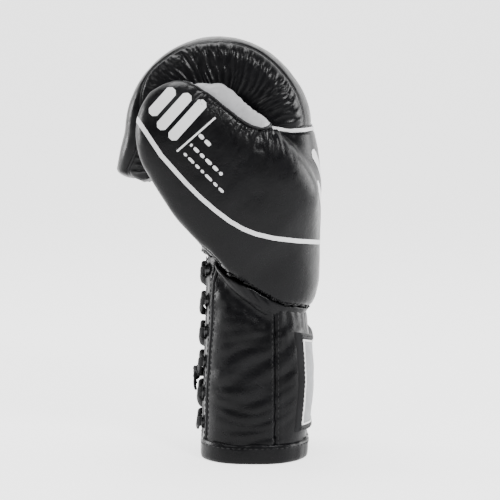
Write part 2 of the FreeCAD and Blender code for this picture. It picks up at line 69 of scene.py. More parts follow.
def through(stops, values, x):
    """A smooth curve through values at rising stops."""
    stops, values = np.asarray(stops, float), np.asarray(values, float)
    slopes = np.gradient(values, stops)
    x = np.clip(x, stops[0], stops[-1])
    i = np.clip(np.searchsorted(stops, x, side="right") - 1, 0, len(stops) - 2)
    gap = stops[i + 1] - stops[i]
    t = (x - stops[i]) / gap
    a, b, c, d = 2 * t**3 - 3 * t**2 + 1, t**3 - 2 * t**2 + t, 3 * t**2 - 2 * t**3, t**3 - t**2
    return a * values[i] + b * gap * slopes[i] + c * values[i + 1] + d * gap * slopes[i + 1]


def hashed(cells, seed):
    """A repeatable number from 0 to 1 for each row of whole numbers."""
    value = np.full(cells.shape[:-1], float(seed) * 17.13 + 3.7)
    for axis, factor in zip(range(cells.shape[-1]), (127.1, 311.7, 74.7)):
        value = value + cells[..., axis] * factor
    return np.modf(np.abs(np.sin(value) * 43758.5453))[0]


def noise(points, size, seed=0):
    """Smooth value noise from -1 to 1, over points of any number of axes."""
    points = np.asarray(points, float) / size
    if points.ndim == 1:
        points = points[:, None]
    base = np.floor(points)
    part = points - base
    part = part * part * (3 - 2 * part)
    total = 0.0
    axes = points.shape[1]
    for corner in range(2**axes):
        bits = np.array([(corner >> a) & 1 for a in range(axes)], float)
        weight = np.prod(np.where(bits, part, 1 - part), axis=1)
        total = total + weight * hashed(base + bits, seed)
    return total * 2 - 1


def folds(along, spacing, seed, sharp=2.0):
    """Irregular puckers along a seam: crests near 0 and creases near -1."""
    warped = along + noise(along, spacing * 2.1, seed) * spacing * 0.7
    wave = 0.5 + 0.5 * np.cos(2 * np.pi * warped / spacing + 2.5 * noise(along, spacing * 5, seed + 1))
    depth = 0.58 + 0.42 * noise(along, spacing * 1.3, seed + 2)
    return -(wave**sharp) * depth


def polyline_place(curve, x, z):
    """Arc length along a curve in the side view, and distance from it, positive to its left."""
    curve = np.asarray(curve, float)
    start, step = curve[:-1], np.diff(curve, axis=0)
    length = np.hypot(step[:, 0], step[:, 1])
    passed = np.concatenate([[0], np.cumsum(length)[:-1]])
    best = np.full(len(x), 1e9)
    along, signed = np.zeros(len(x)), np.zeros(len(x))
    for a, d, size, done in zip(start, step, length, passed):
        px, pz = x - a[0], z - a[1]
        t = np.clip((px * d[0] + pz * d[1]) / size**2, 0, 1)
        gap = np.hypot(px - t * d[0], pz - t * d[1])
        side = np.sign(d[0] * pz - d[1] * px)
        closer = gap < best
        best = np.where(closer, gap, best)
        along = np.where(closer, done + t * size, along)
        signed = np.where(closer, gap * side, signed)
    return along, signed


# ---------------------------------------------------------------- meshes
def add_mesh(name, points, faces, body, material):
    """A mesh object from points in millimetres, riding on a body."""
    mesh = bpy.data.meshes.new(name)
    mesh.from_pydata((np.asarray(points) * MM).tolist(), [], [list(map(int, f)) for f in faces])
    mesh.update()
    obj = bpy.data.objects.new(name, mesh)
    bpy.context.scene.collection.objects.link(obj)
    mesh.materials.append(material)
    mesh.polygons.foreach_set("use_smooth", [True] * len(mesh.polygons))
    if body:
        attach(obj, body)
    return obj


def grid_faces(rows, columns, closed_rows=False, closed_columns=False):
    """Quads of a grid of points stored row by row."""
    r = np.arange(rows if closed_rows else rows - 1)
    c = np.arange(columns if closed_columns else columns - 1)
    r, c = [g.ravel() for g in np.meshgrid(r, c, indexing="ij")]
    r2, c2 = (r + 1) % rows, (c + 1) % columns
    return np.stack([r * columns + c, r * columns + c2, r2 * columns + c2, r2 * columns + c], axis=1)


def vertex_normals(points, faces):
    """Area-weighted normals of a mesh of quads or triangles."""
    faces = np.asarray(faces)
    normals = np.zeros_like(points)
    for k in range(1, faces.shape[1] - 1):
        a, b, c = points[faces[:, 0]], points[faces[:, k]], points[faces[:, k + 1]]
        n = np.cross(b - a, c - a)
        for column in (0, k, k + 1):
            np.add.at(normals, faces[:, column], n)
    return normals / np.maximum(np.linalg.norm(normals, axis=1, keepdims=True), 1e-9)


def surface_nets(field, low, high, cell):
    """Quads on the zero level of a field, over a box."""
    axes = [np.arange(a, b + cell, cell) for a, b in zip(low, high)]
    shape = [len(a) for a in axes]
    grid = np.stack(np.meshgrid(*axes, indexing="ij"), axis=-1)
    value = field(grid.reshape(-1, 3)).reshape(shape)
    inside = value < 0
    total = np.zeros([n - 1 for n in shape] + [3])
    count = np.zeros([n - 1 for n in shape])
    offsets = [(i, j, k) for i in (0, 1) for j in (0, 1) for k in (0, 1)]
    for o in offsets:
        for axis in range(3):
            if o[axis]:
                continue
            p = list(o)
            p[axis] = 1
            sa = tuple(slice(o[d], shape[d] - 1 + o[d]) for d in range(3))
            sb = tuple(slice(p[d], shape[d] - 1 + p[d]) for d in range(3))
            va, vb = value[sa], value[sb]
            crosses = inside[sa] != inside[sb]
            t = np.where(crosses, va / np.where(va == vb, 1, va - vb), 0)
            at = grid[sa] + t[..., None] * (grid[sb] - grid[sa])
            total += np.where(crosses[..., None], at, 0)
            count += crosses
    used = count > 0
    index = np.full(count.shape, -1)
    index[used] = np.arange(used.sum())
    points = total[used] / count[used][:, None]
    quads = []
    for axis in range(3):
        u, v = (axis + 1) % 3, (axis + 2) % 3
        sa = [slice(0, n) for n in shape]
        sb = [slice(0, n) for n in shape]
        sa[axis], sb[axis] = slice(0, shape[axis] - 1), slice(1, shape[axis])
        change = inside[tuple(sa)] != inside[tuple(sb)]
        at = np.argwhere(change)
        ok = (at[:, u] > 0) & (at[:, v] > 0) & (at[:, u] < shape[u] - 1) & (at[:, v] < shape[v] - 1)
        at = at[ok]
        corner = []
        for du, dv in ((-1, -1), (0, -1), (0, 0), (-1, 0)):
            c = at.copy()
            c[:, u] += du
            c[:, v] += dv
            corner.append(index[c[:, 0], c[:, 1], c[:, 2]])
        quad = np.stack(corner, axis=1)
        outwards = inside[tuple(at.T)]
        quads.append(np.where(outwards[:, None], quad, quad[:, ::-1]))
    return points, np.concatenate(quads)


def onto_surface(field, points, rounds=3):
    """Moves points to the zero level of a field, along its slope."""
    step = 0.05
    for _ in range(rounds):
        value = field(points)
        slope = np.stack([(field(points + d) - field(points - d)) / (2 * step)
                          for d in np.eye(3) * step], axis=1)
        size = np.maximum((slope**2).sum(axis=1), 0.05)
        points = points - slope * (value / size)[:, None]
    return points


def relaxed(points, quads, rounds):
    """Evens out a mesh by moving each point towards the middle of its neighbours."""
    for _ in range(rounds):
        total, count = np.zeros_like(points), np.zeros(len(points))
        for a, b in ((0, 1), (1, 2), (2, 3), (3, 0)):
            for i, j in ((a, b), (b, a)):
                np.add.at(total, quads[:, i], points[quads[:, j]])
                np.add.at(count, quads[:, i], 1)
        points = points * 0.4 + 0.6 * total / count[:, None]
    return points


def triangles(quads):
    """Quads, each as two triangles."""
    return np.concatenate([quads[:, [0, 1, 2]], quads[:, [0, 2, 3]]])


def split(points, tris, level, *labels):
    """Cuts triangles along the zero of a level, so that each is wholly on one side.

    Returns the points, the triangles, and each label carried over to the new triangles.
    """
    value = level(points)
    value = np.where(np.abs(value) < 1e-4, 1e-4, value)
    sign = value > 0
    corner = sign[tris]
    mixed = corner.any(axis=1) & ~corner.all(axis=1)
    cut = tris[mixed]
    edges = np.sort(np.concatenate([cut[:, [0, 1]], cut[:, [1, 2]], cut[:, [2, 0]]]), axis=1)
    edges = edges[sign[edges[:, 0]] != sign[edges[:, 1]]]
    edges = np.unique(edges, axis=0)
    va, vb = value[edges[:, 0]], value[edges[:, 1]]
    t = (va / (va - vb))[:, None]
    fresh = points[edges[:, 0]] * (1 - t) + points[edges[:, 1]] * t
    lookup = {(a, b): len(points) + i for i, (a, b) in enumerate(edges.tolist())}
    out, sources = [tris[~mixed]], [np.flatnonzero(~mixed)]
    new, came = [], []
    for source, tri in zip(np.flatnonzero(mixed), cut.tolist()):
        flags = [bool(sign[v]) for v in tri]
        lone = flags.index(sum(flags) == 1)
        a, b, c = tri[lone], tri[(lone + 1) % 3], tri[(lone + 2) % 3]
        ab, ac = lookup[(min(a, b), max(a, b))], lookup[(min(a, c), max(a, c))]
        new += [[a, ab, ac], [ab, b, c], [ab, c, ac]]
        came += [source] * 3
    if new:
        out.append(np.array(new))
        sources.append(np.array(came))
    tris, sources = np.concatenate(out), np.concatenate(sources)
    points = np.concatenate([points, fresh])
    value = np.concatenate([value, np.zeros(len(fresh))])
    side = value[tris].sum(axis=1) > 0
    return points, tris, [np.asarray(l)[sources] for l in labels] + [side]


def part_of(points, tris, keep, *fields):
    """The triangles that are kept, with only their own points and the points' fields."""
    tris = tris[keep]
    used = np.unique(tris)
    index = np.zeros(len(points), int)
    index[used] = np.arange(len(used))
    return (points[used], index[tris], *[f[used] for f in fields])


# ---------------------------------------------------------------- materials
def wire(tree, source, target):
    tree.links.new(source, target)


def new_material(name, color, rough, specular=0.5, sheen=0.0, metallic=0.0):
    """A material with its constant values on the shader, and its tree ready for texture nodes."""
    material = bpy.data.materials.new(name)
    material.use_nodes = True
    tree = material.node_tree
    shader = tree.nodes["Principled BSDF"]
    shader.inputs["Base Color"].default_value = (*color, 1)
    shader.inputs["Roughness"].default_value = rough
    shader.inputs["Specular IOR Level"].default_value = specular
    shader.inputs["Sheen Weight"].default_value = sheen
    shader.inputs["Metallic"].default_value = metallic
    where = tree.nodes.new("ShaderNodeTexCoord")
    return material, tree, shader, where.outputs["Object"]


def texture(tree, kind, place, **values):
    """A texture node on a place, with its inputs and choices."""
    node = tree.nodes.new(kind)
    for key, value in values.items():
        if key in node.inputs:
            node.inputs[key].default_value = value
        else:
            setattr(node, key, value)
    wire(tree, place, node.inputs["Vector"])
    return node


def remapped(tree, source, low, high, start=0.0, end=1.0):
    """A value mapped from one range to another."""
    node = tree.nodes.new("ShaderNodeMapRange")
    for key, value in (("From Min", start), ("From Max", end), ("To Min", low), ("To Max", high)):
        node.inputs[key].default_value = value
    wire(tree, source, node.inputs["Value"])
    return node.outputs["Result"]


def mixed(tree, factor, first, second):
    """A colour between two, by a factor."""
    node = tree.nodes.new("ShaderNodeMix")
    node.data_type = "RGBA"
    node.inputs["A"].default_value = (*first, 1)
    node.inputs["B"].default_value = (*second, 1)
    wire(tree, factor, node.inputs["Factor"])
    return node.outputs["Result"]


def bumped(tree, shader, *layers):
    """Stacks bumps, each a height, a strength and a depth in metres, into the shader's normal."""
    last = None
    for height, strength, depth in layers:
        node = tree.nodes.new("ShaderNodeBump")
        node.inputs["Strength"].default_value = strength
        node.inputs["Distance"].default_value = depth
        wire(tree, height, node.inputs["Height"])
        if last is not None:
            wire(tree, last, node.inputs["Normal"])
        last = node.outputs["Normal"]
    wire(tree, last, shader.inputs["Normal"])


def leather(name, color, rough, grain=1.0, lighter=1.8):
    """Smooth-grain leather: fine cells, pores, soft creases, and small changes of tone and gloss."""
    material, tree, shader, place = new_material(name, color, rough, specular=0.11)
    cells = texture(tree, "ShaderNodeTexVoronoi", place, Scale=900.0 / grain, Randomness=1.0)
    pores = texture(tree, "ShaderNodeTexNoise", place, Scale=2600.0 / grain, Detail=2.0)
    creases = texture(tree, "ShaderNodeTexNoise", place, Scale=140.0, Detail=5.0, Roughness=0.62)
    patches = texture(tree, "ShaderNodeTexNoise", place, Scale=26.0, Detail=3.0)
    tone = remapped(tree, patches.outputs["Fac"], 0.0, 1.0, 0.35, 0.72)
    wire(tree, mixed(tree, tone, color, tuple(c * lighter for c in color)), shader.inputs["Base Color"])
    wire(tree, remapped(tree, creases.outputs["Fac"], rough - 0.06, rough + 0.08, 0.3, 0.7),
         shader.inputs["Roughness"])
    bumped(tree, shader, (creases.outputs["Fac"], 0.35, 0.0008), (cells.outputs["Distance"], 0.22, 0.00025),
           (pores.outputs["Fac"], 0.12, 0.0001))
    return material


def woven(name, color, rough, threads, lighter=1.7, sheen=0.2):
    """Cloth with two crossing sets of threads, and a little unevenness."""
    material, tree, shader, place = new_material(name, color, rough, specular=0.25, sheen=sheen)
    sets = []
    for turn in ((0.6, 0.0, 0.8), (0.0, 1.0, 0.0)):
        node = tree.nodes.new("ShaderNodeMapping")
        node.inputs["Rotation"].default_value = turn
        wire(tree, place, node.inputs["Vector"])
        sets.append(texture(tree, "ShaderNodeTexWave", node.outputs["Vector"], Scale=threads, Distortion=0.6,
                            Detail=1.0))
    blotch = texture(tree, "ShaderNodeTexNoise", place, Scale=160.0, Detail=3.0)
    tone = remapped(tree, blotch.outputs["Fac"], 0.0, 1.0, 0.35, 0.7)
    paler = tuple(min(1.0, c * lighter) for c in color)
    wire(tree, mixed(tree, tone, color, paler), shader.inputs["Base Color"])
    bumped(tree, shader, *[(s.outputs["Fac"], 0.5, 0.0002) for s in sets])
    return material


def make_materials():
    """Every finish of the glove, by the record's slot or its own name."""
    made = {
        "black_leather": leather("black_leather", (0.0015, 0.0015, 0.0018), 0.30),
        # White leather made dark grey: painted shade for the thumb's inner panel, which lies under the finger
        # compartment.
        "white_leather": leather("white_leather", (0.18, 0.18, 0.185), 0.42, grain=1.6, lighter=1.35),
        "white_print": leather("white_print", (0.46, 0.46, 0.465), 0.5, lighter=1.08),
        "black_piping": leather("black_piping", (0.006, 0.006, 0.0065), 0.36),
        "lining_fabric": woven("lining_fabric", (0.02, 0.02, 0.022), 0.55, 420.0),
        "lace_cord": woven("lace_cord", (0.0025, 0.0025, 0.003), 0.8, 420.0, lighter=1.3, sheen=0.03),
        "patch_border": leather("patch_border", (0.007, 0.007, 0.0075), 0.5),
        "patch_line": woven("patch_line", (0.55, 0.55, 0.55), 0.7, 700.0, lighter=1.1),
        "patch_field": woven("patch_field", (0.15, 0.155, 0.16), 0.6, 420.0, lighter=1.25),
    }
    metal, tree, shader, place = new_material("eyelet_metal", (0.012, 0.012, 0.013), 0.3, metallic=0.2)
    worn = texture(tree, "ShaderNodeTexNoise", place, Scale=500.0, Detail=4.0)
    wire(tree, remapped(tree, worn.outputs["Fac"], 0.22, 0.42, 0.3, 0.7), shader.inputs["Roughness"])
    bumped(tree, shader, (worn.outputs["Fac"], 0.1, 0.0001))
    made["eyelet_metal"] = metal
    return made


FINISHES = make_materials()
# Thicknesses of the leathers, and how full of foam the padded pieces are.
SKIN_THICK, FINGER_THICK, TRIM_THICK, BAND_THICK = 1.5, 1.4, 1.2, 1.6
FIRM, SOFTER, LIMP = 0.9, 0.8, 0.6


# ---------------------------------------------------------------- the stage
def make_stage():
    """A pale sweep under and behind the glove, soft lights round it, and the camera."""
    front, back, rise, half = -9000.0, 2600.0, 900.0, 9000.0
    profile = [(front, 0.0), (back - rise, 0.0)]
    profile += [(back - rise + rise * math.sin(a), rise - rise * math.cos(a))
                for a in np.linspace(0.1, math.pi / 2, 12)]
    profile += [(back, 5200.0)]
    points = [(x, y, z) for x in (-half, half) for y, z in profile]
    sweep = add_mesh("studio_sweep", points, grid_faces(2, len(profile)), None, stage_paper())
    world = bpy.data.worlds.new("studio")
    bpy.context.scene.world = world
    world.use_nodes = True
    world.node_tree.nodes["Background"].inputs["Color"].default_value = (1, 1, 1, 1)
    world.node_tree.nodes["Background"].inputs["Strength"].default_value = 0.20
    aim = np.array([0.0, 0.0, 0.17])
    lights = (("key", (-1.0, -1.15, 1.5), 1.1, 24.0), ("rim", (1.45, 0.30, 0.25), 1.2, 48.0),
              ("top", (-0.25, 0.3, 1.8), 1.1, 46.0), ("side", (-1.5, 0.45, 0.45), 0.7, 34.0),
              ("front", (0.62, -1.05, 1.05), 0.32, 32.0))
    for name, at, size, power in lights:
        data = bpy.data.lights.new(name, "AREA")
        data.shape, data.size, data.energy = "DISK", size, power
        lamp = bpy.data.objects.new(name, data)
        lamp.location = at
        towards = Vector(aim - np.array(at))
        lamp.rotation_euler = towards.to_track_quat("-Z", "Y").to_euler()
        bpy.context.scene.collection.objects.link(lamp)
    camera = bpy.data.cameras.new("camera")
    distance, wide = 1.55, 0.390
    camera.lens = camera.sensor_width * distance / wide
    eye = bpy.data.objects.new("camera", camera)
    look = Vector((-0.0025, 0.0, 0.160))
    eye.location = (-0.0025, -distance, 0.335)
    eye.rotation_euler = (look - eye.location).to_track_quat("-Z", "Y").to_euler()
    bpy.context.scene.collection.objects.link(eye)
    bpy.context.scene.camera = eye


def stage_paper():
    """Matte white paper with a faint tooth, whose glow fades towards the front of the scene."""
    material, tree, shader, place = new_material("studio_paper", (0.35, 0.35, 0.35), 0.95, specular=0.1)
    shader.inputs["Emission Color"].default_value = (1, 1, 1, 1)
    apart = tree.nodes.new("ShaderNodeSeparateXYZ")
    wire(tree, place, apart.inputs["Vector"])
    wire(tree, remapped(tree, apart.outputs["Y"], 0.7, 2.2, -1.3, -0.6), shader.inputs["Emission Strength"])
    tooth = texture(tree, "ShaderNodeTexNoise", place, Scale=300.0, Detail=2.0)
    bumped(tree, shader, (tooth.outputs["Fac"], 0.05, 0.0002))
    return material


# ---------------------------------------------------------------- surfaces, tubes and stitches
class Skin:
    """A finished surface that other pieces are laid on, in millimetres."""

    def __init__(self, points, faces):
        self.tree = BVHTree.FromPolygons(points.tolist(), np.asarray(faces).tolist())

    def near(self, points, lift=0.0):
        """The surface's nearest points, lifted off it, and its normals there."""
        found = [self.tree.find_nearest(Vector(p)) for p in np.asarray(points)]
        normals = np.array([f[1] for f in found])
        return np.array([f[0] for f in found]) + normals * lift, normals

    def hit(self, starts, ways, lift=0.0):
        """Where rays meet the surface, lifted off it, and its normals there."""
        found = [self.tree.ray_cast(Vector(s), Vector(w)) for s, w in zip(starts, ways)]
        normals = np.array([f[1] for f in found])
        return np.array([f[0] for f in found]) + normals * lift, normals


def unit(v):
    """Vectors scaled to length 1."""
    return v / np.maximum(np.linalg.norm(v, axis=-1, keepdims=True), 1e-9)


def turned(points, faces, way):
    """The faces, all reversed if need be, so that on the whole their normals point along a way."""
    a, b, c = (points[faces[:, k]] for k in range(3))
    return faces if (np.cross(b - a, c - a) * way).sum() > 0 else faces[:, ::-1]


def outward(points, faces):
    """The faces, turned so that their normals point away from the middle of the piece."""
    return turned(points, faces, points[faces[:, 0]] - points.mean(axis=0))


def away_from(middle, points, faces):
    """A list of faces, all reversed if the first one looks towards a point inside the piece."""
    a, b, c = (points[faces[0][k]] for k in range(3))
    return [f[::-1] for f in faces] if np.dot(np.cross(b - a, c - a), a - middle) < 0 else faces


def travelled(path):
    """The way gone at each point of a path."""
    return np.concatenate([[0], np.cumsum(np.linalg.norm(np.diff(path, axis=0), axis=1))])


def tube(path, up, thick, wide, sides=10, round_ends=True):
    """Points and faces of a tube along a path: half thickness along up, half width across it."""
    path = np.asarray(path, float)
    up = np.broadcast_to(np.asarray(up, float), path.shape)
    along = unit(np.gradient(path, axis=0))
    across = unit(np.cross(along, up))
    up = np.cross(across, along)
    thick, wide = (np.broadcast_to(np.asarray(v, float), len(path)) for v in (thick, wide))
    if round_ends:
        done = travelled(path)
        gap = np.minimum(done, done[-1] - done) / np.maximum(thick, 1e-6)
        grow = np.sqrt(np.clip(1 - (1 - np.clip(gap, 0, 1)) ** 2, 0.04, 1))
        thick, wide = thick * grow, wide * grow
    angle = np.linspace(0, 2 * np.pi, sides, endpoint=False)
    ring = (path[:, None] + across[:, None] * (wide[:, None] * np.cos(angle))[..., None]
            + up[:, None] * (thick[:, None] * np.sin(angle))[..., None])
    points = ring.reshape(-1, 3)
    faces = grid_faces(len(path), sides, closed_columns=True).tolist()
    last = (len(path) - 1) * sides
    faces += [list(range(sides))[::-1], [last + k for k in range(sides)]]
    return points, away_from(path[0], points, faces)


def merged(*meshes):
    """Several meshes as one list of points and one of faces."""
    points, faces, base = [], [], 0
    for p, f in meshes:
        points.append(np.asarray(p))
        faces += [[int(v) + base for v in face] for face in f]
        base += len(p)
    return np.concatenate(points), faces


def evenly(path, spacing):
    """Points spaced evenly along a polyline."""
    path = np.asarray(path, float)
    done = travelled(path)
    at = np.linspace(0, done[-1], max(2, int(round(done[-1] / spacing)) + 1))
    return np.stack([np.interp(at, done, path[:, k]) for k in range(3)], axis=1)


def stitch_row(skin, path, length=3.0, gap=1.3, radius=0.42, sink=0.05):
    """A row of stitches along a path on a surface, each a short thick thread that dips at its ends."""
    middle, normals = skin.near(evenly(path, length + gap), -sink)
    along = np.gradient(middle, axis=0)
    along = unit(along - normals * (along * normals).sum(axis=1, keepdims=True))
    across = np.cross(normals, along)
    sides = 6
    angle = np.linspace(0, 2 * np.pi, sides, endpoint=False)
    points, faces = [], []
    for u, r in ((-1.0, 0.25), (-0.72, 0.8), (0.0, 1.0), (0.72, 0.8), (1.0, 0.25)):
        points.append(np.stack([np.full(sides, u * length / 2), r * radius * 1.15 * np.cos(angle),
                                r * radius * np.sin(angle) + 0.35 * radius * (1 - u * u)], axis=1))
    shape = np.concatenate(points)
    faces = grid_faces(5, sides, closed_columns=True)
    placed = (middle[:, None] + along[:, None] * shape[None, :, :1] + across[:, None] * shape[None, :, 1:2]
              + normals[:, None] * shape[None, :, 2:])
    all_faces = (faces[None] + (np.arange(len(middle)) * len(shape))[:, None, None]).reshape(-1, 4)
    return placed.reshape(-1, 3), all_faces


def border_chains(tris, mask):
    """The borders between masked and other triangles, each a list of point numbers in order."""
    owner = {}
    for inside, tri in zip(mask.tolist(), tris.tolist()):
        for a, b in ((tri[0], tri[1]), (tri[1], tri[2]), (tri[2], tri[0])):
            owner.setdefault((min(a, b), max(a, b)), []).append(inside)
    links = {}
    for (a, b), sides in owner.items():
        if len(sides) == 2 and sides[0] != sides[1]:
            links.setdefault(a, []).append(b)
            links.setdefault(b, []).append(a)
    chains = []
    while links:
        start = next((k for k, v in links.items() if len(v) == 1), next(iter(links)))
        chain, here = [start], start
        while links.get(here):
            after = links[here].pop()
            if here in links.get(after, []):
                links[after].remove(here)
            if not links[here]:
                del links[here]
            chain.append(after)
            here = after
        if not links.get(here):
            links.pop(here, None)
        chains.append(chain)
    return chains


def smoothed(path, rounds):
    """A path with its inner points averaged with their neighbours."""
    path = np.array(path, float)
    for _ in range(rounds):
        inner = (path[:-2] + 2 * path[1:-1] + path[2:]) / 4
        path = np.concatenate([path[:1], inner, path[-1:]])
    return path


# ---------------------------------------------------------------- the side drawing
# The eye that the side drawing is seen from: level with the fingertips, on the thumb's side.
EYE_X, EYE_Z, EYE_BACK = -2.5, 335.0, 1550.0
# The wrist crease in the side drawing, from the palm to the back.
CREASE = ((-60, 172), (-34, 156), (-19.5, 141), (0, 131), (14, 122), (24, 117.5), (46, 115), (70, 115))


def depth_scale(y):
    """How much smaller the side drawing is at a depth on the thumb's side."""
    return np.clip(1 + y / EYE_BACK, 0.94, 1.0)


def drawn(p):
    """Where a point lies in the side drawing."""
    scale = depth_scale(p[:, 1])
    return EYE_X + (p[:, 0] - EYE_X) / scale, EYE_Z + (p[:, 2] - EYE_Z) / scale


def crease_height(x, y):
    """The height of the wrist crease at x, y."""
    scale = depth_scale(y)
    at = EYE_X + (x - EYE_X) / scale
    return EYE_Z + (np.interp(at, [c[0] for c in CREASE], [c[1] for c in CREASE]) - EYE_Z) * scale


# ---------------------------------------------------------------- the mitt: hand and thumb
# The middle of the mitt's section, its half depth and half width, by height.
HAND_AT = (95, 110, 124, 135, 152, 170, 196, 220, 238, 256, 262)
HAND_BACK = (40, 43, 49, 51.5, 52.3, 52.4, 52.6, 52.5, 50.5, 46.6, 45)
HAND_PALM = (-38, -39, -41, -43, -43, -39, -28, -14, -9.5, -8, -8)
HAND_THUMB = (-46, -48, -51, -54, -58, -61, -60, -53, -48.5, -45, -44)
HAND_LITTLE = (46, 47.5, 49, 51, 54, 57, 59.5, 60, 60, 59.6, 59)
HAND_TOP = 259.0
# The thumb leans 45 degrees: places along its axis, then across it, drawn at the thumb's own depth.
THUMB_ALONG = (60, 80, 95, 113, 131, 150, 172, 198, 213, 223, 237, 246, 251, 255, 257)
THUMB_LOW = (108, 97, 92.5, 86.2, 86, 86.6, 87.9, 93.3, 97, 99.8, 108.2, 117, 124, 133, 141)
THUMB_HIGH = (128, 150, 164, 178, 186, 190, 192.2, 190.5, 189.5, 186.8, 174.5, 168, 162, 153, 146)
THUMB_DEEP = (6, 10, 12.5, 15, 17, 18.2, 18.8, 19, 19, 18.4, 16, 13, 10.5, 6.5, 3)
THUMB_Y = (-16, -30, -41, -51, -58, -62, -64, -65, -65.2, -65.2, -65, -64.5, -64, -63.5, -63)
THUMB_SCALE = 0.958
TURN = math.sqrt(0.5)
# The seam between the thumb's outer and inner leather, in the side drawing.
RIDGE = ((-140, 310), (-80, 303), (-62, 297.5), (-49, 292), (-33.5, 282), (-24, 274), (-12, 264), (-5, 259.5),
         (0, 257.2), (6, 255.6), (14.4, 256.8), (30, 262), (60, 270))
THUMB_SEAM_Y = -63.0
# The printed stripe in the side drawing; round the back it stays level.
STRIPE = ((-110, 290), (-90, 262), (-72, 234.5), (-52.5, 212.5), (-41, 201), (-30, 191.5), (-18, 182.5),
          (-8, 176.8), (2, 172.8), (16, 169.4), (34, 167.2), (52, 166.2), (90, 165.6))
STRIPE_HALF = 1.75
# The white band where the fingers join the hand.
BAND = ((-60, 256.5), (14, 256.5), (20, 255.2), (30, 253.6), (40, 254.2), (47, 255.4), (80, 255.4))
BAND_HALF = 1.5
PALM_SEAM = ((95, 14), (150, 12), (200, 10), (256, 6))
# A ramp between hand and thumb; the mitt's pieces are handed it, but its values are not read.
MITT_BLEND = dict(start=(-0.0500, -0.0750, 0.1800), end=(-0.0587, -0.0855, 0.1887))


def section_distance(u, v, power):
    """Roughly the distance to a superellipse, from offsets u and v in units of its half sizes."""
    return (np.abs(u) ** power + np.abs(v) ** power) ** (1 / power)


def hand_field(p):
    """Roughly the distance outside the hand."""
    x, y, z = p.T
    back, palm = through(HAND_AT, HAND_BACK, z), through(HAND_AT, HAND_PALM, z)
    low, high = through(HAND_AT, HAND_THUMB, z), through(HAND_AT, HAND_LITTLE, z)
    dx, dy = x - (back + palm) / 2, y - (low + high) / 2
    power = through((95, 150, 200, 256), (2.4, 2.4, 2.7, 3.2), z)
    q = section_distance(dx / ((back - palm) / 2), dy / ((high - low) / 2), power)
    reach = np.hypot(dx, dy)
    return reach - reach / np.maximum(q, 1e-3)


def thumb_field(p):
    """Roughly the distance outside the thumb, which fades out towards its root."""
    x, y, z = p.T
    x, z = EYE_X + (x - EYE_X) / THUMB_SCALE, EYE_Z + (z - EYE_Z) / THUMB_SCALE
    along, across = (z - x) * TURN, (z + x) * TURN
    low, high = through(THUMB_ALONG, THUMB_LOW, along), through(THUMB_ALONG, THUMB_HIGH, along)
    deep, mid_y = through(THUMB_ALONG, THUMB_DEEP, along), through(THUMB_ALONG, THUMB_Y, along)
    da, dy = across - (low + high) / 2, y - mid_y
    q = section_distance(da / ((high - low) / 2), dy / deep, 2.35)
    reach = np.hypot(da, dy)
    side = np.minimum(reach - reach / np.maximum(q, 1e-3), 40)
    ends = np.maximum(along - THUMB_ALONG[-1], THUMB_ALONG[0] - along)
    return np.maximum(side, ends) + 28 * smooth(112, 68, along)


def smooth_union(a, b, width):
    """The nearer of two distances, with a soft fillet where they meet."""
    share = np.clip(0.5 + 0.5 * (b - a) / width, 0, 1)
    return b * (1 - share) + a * share - width * share * (1 - share)


def mitt_field(p):
    """The whole mitt, cut off above where the fingers begin and below at the wrist crease."""
    thumb = thumb_field(p)
    body = smooth_union(hand_field(p), thumb, 26.0)
    body = np.maximum(body, p[:, 2] - HAND_TOP - 200 * smooth(2, -6, thumb - 2))
    return np.maximum(body, (crease_height(p[:, 0], p[:, 1]) - 3 - p[:, 2]) * 0.8)


def height_over(curve, x, z):
    """How far a height is above a curve given as height over x."""
    return z - np.interp(x, [c[0] for c in curve], [c[1] for c in curve])


def ridge_level(p):
    """Above 0 on the inner side of the thumb's seam."""
    x, z = drawn(p)
    above = polyline_place(RIDGE, x, z)[1]
    return np.maximum(above, np.minimum(p[:, 1] - THUMB_SEAM_Y, -(x + 20) * 0.5))


def thumb_level(p):
    """Above 0 where the skin belongs to the thumb."""
    along = (p[:, 2] - p[:, 0]) * TURN
    return np.minimum(hand_field(p) - thumb_field(p), (along - 128) / 2)


def palm_level(p):
    """Above 0 on the palm side of its seam."""
    return through([c[0] for c in PALM_SEAM], [c[1] for c in PALM_SEAM], p[:, 2]) - p[:, 0]


def stripe_level(p):
    """Above 0 inside the printed stripe."""
    return STRIPE_HALF - np.abs(polyline_place(STRIPE, *drawn(p))[1])


def band_level(p):
    """Above 0 inside the knuckle band."""
    return BAND_HALF - np.abs(height_over(BAND, *drawn(p)))


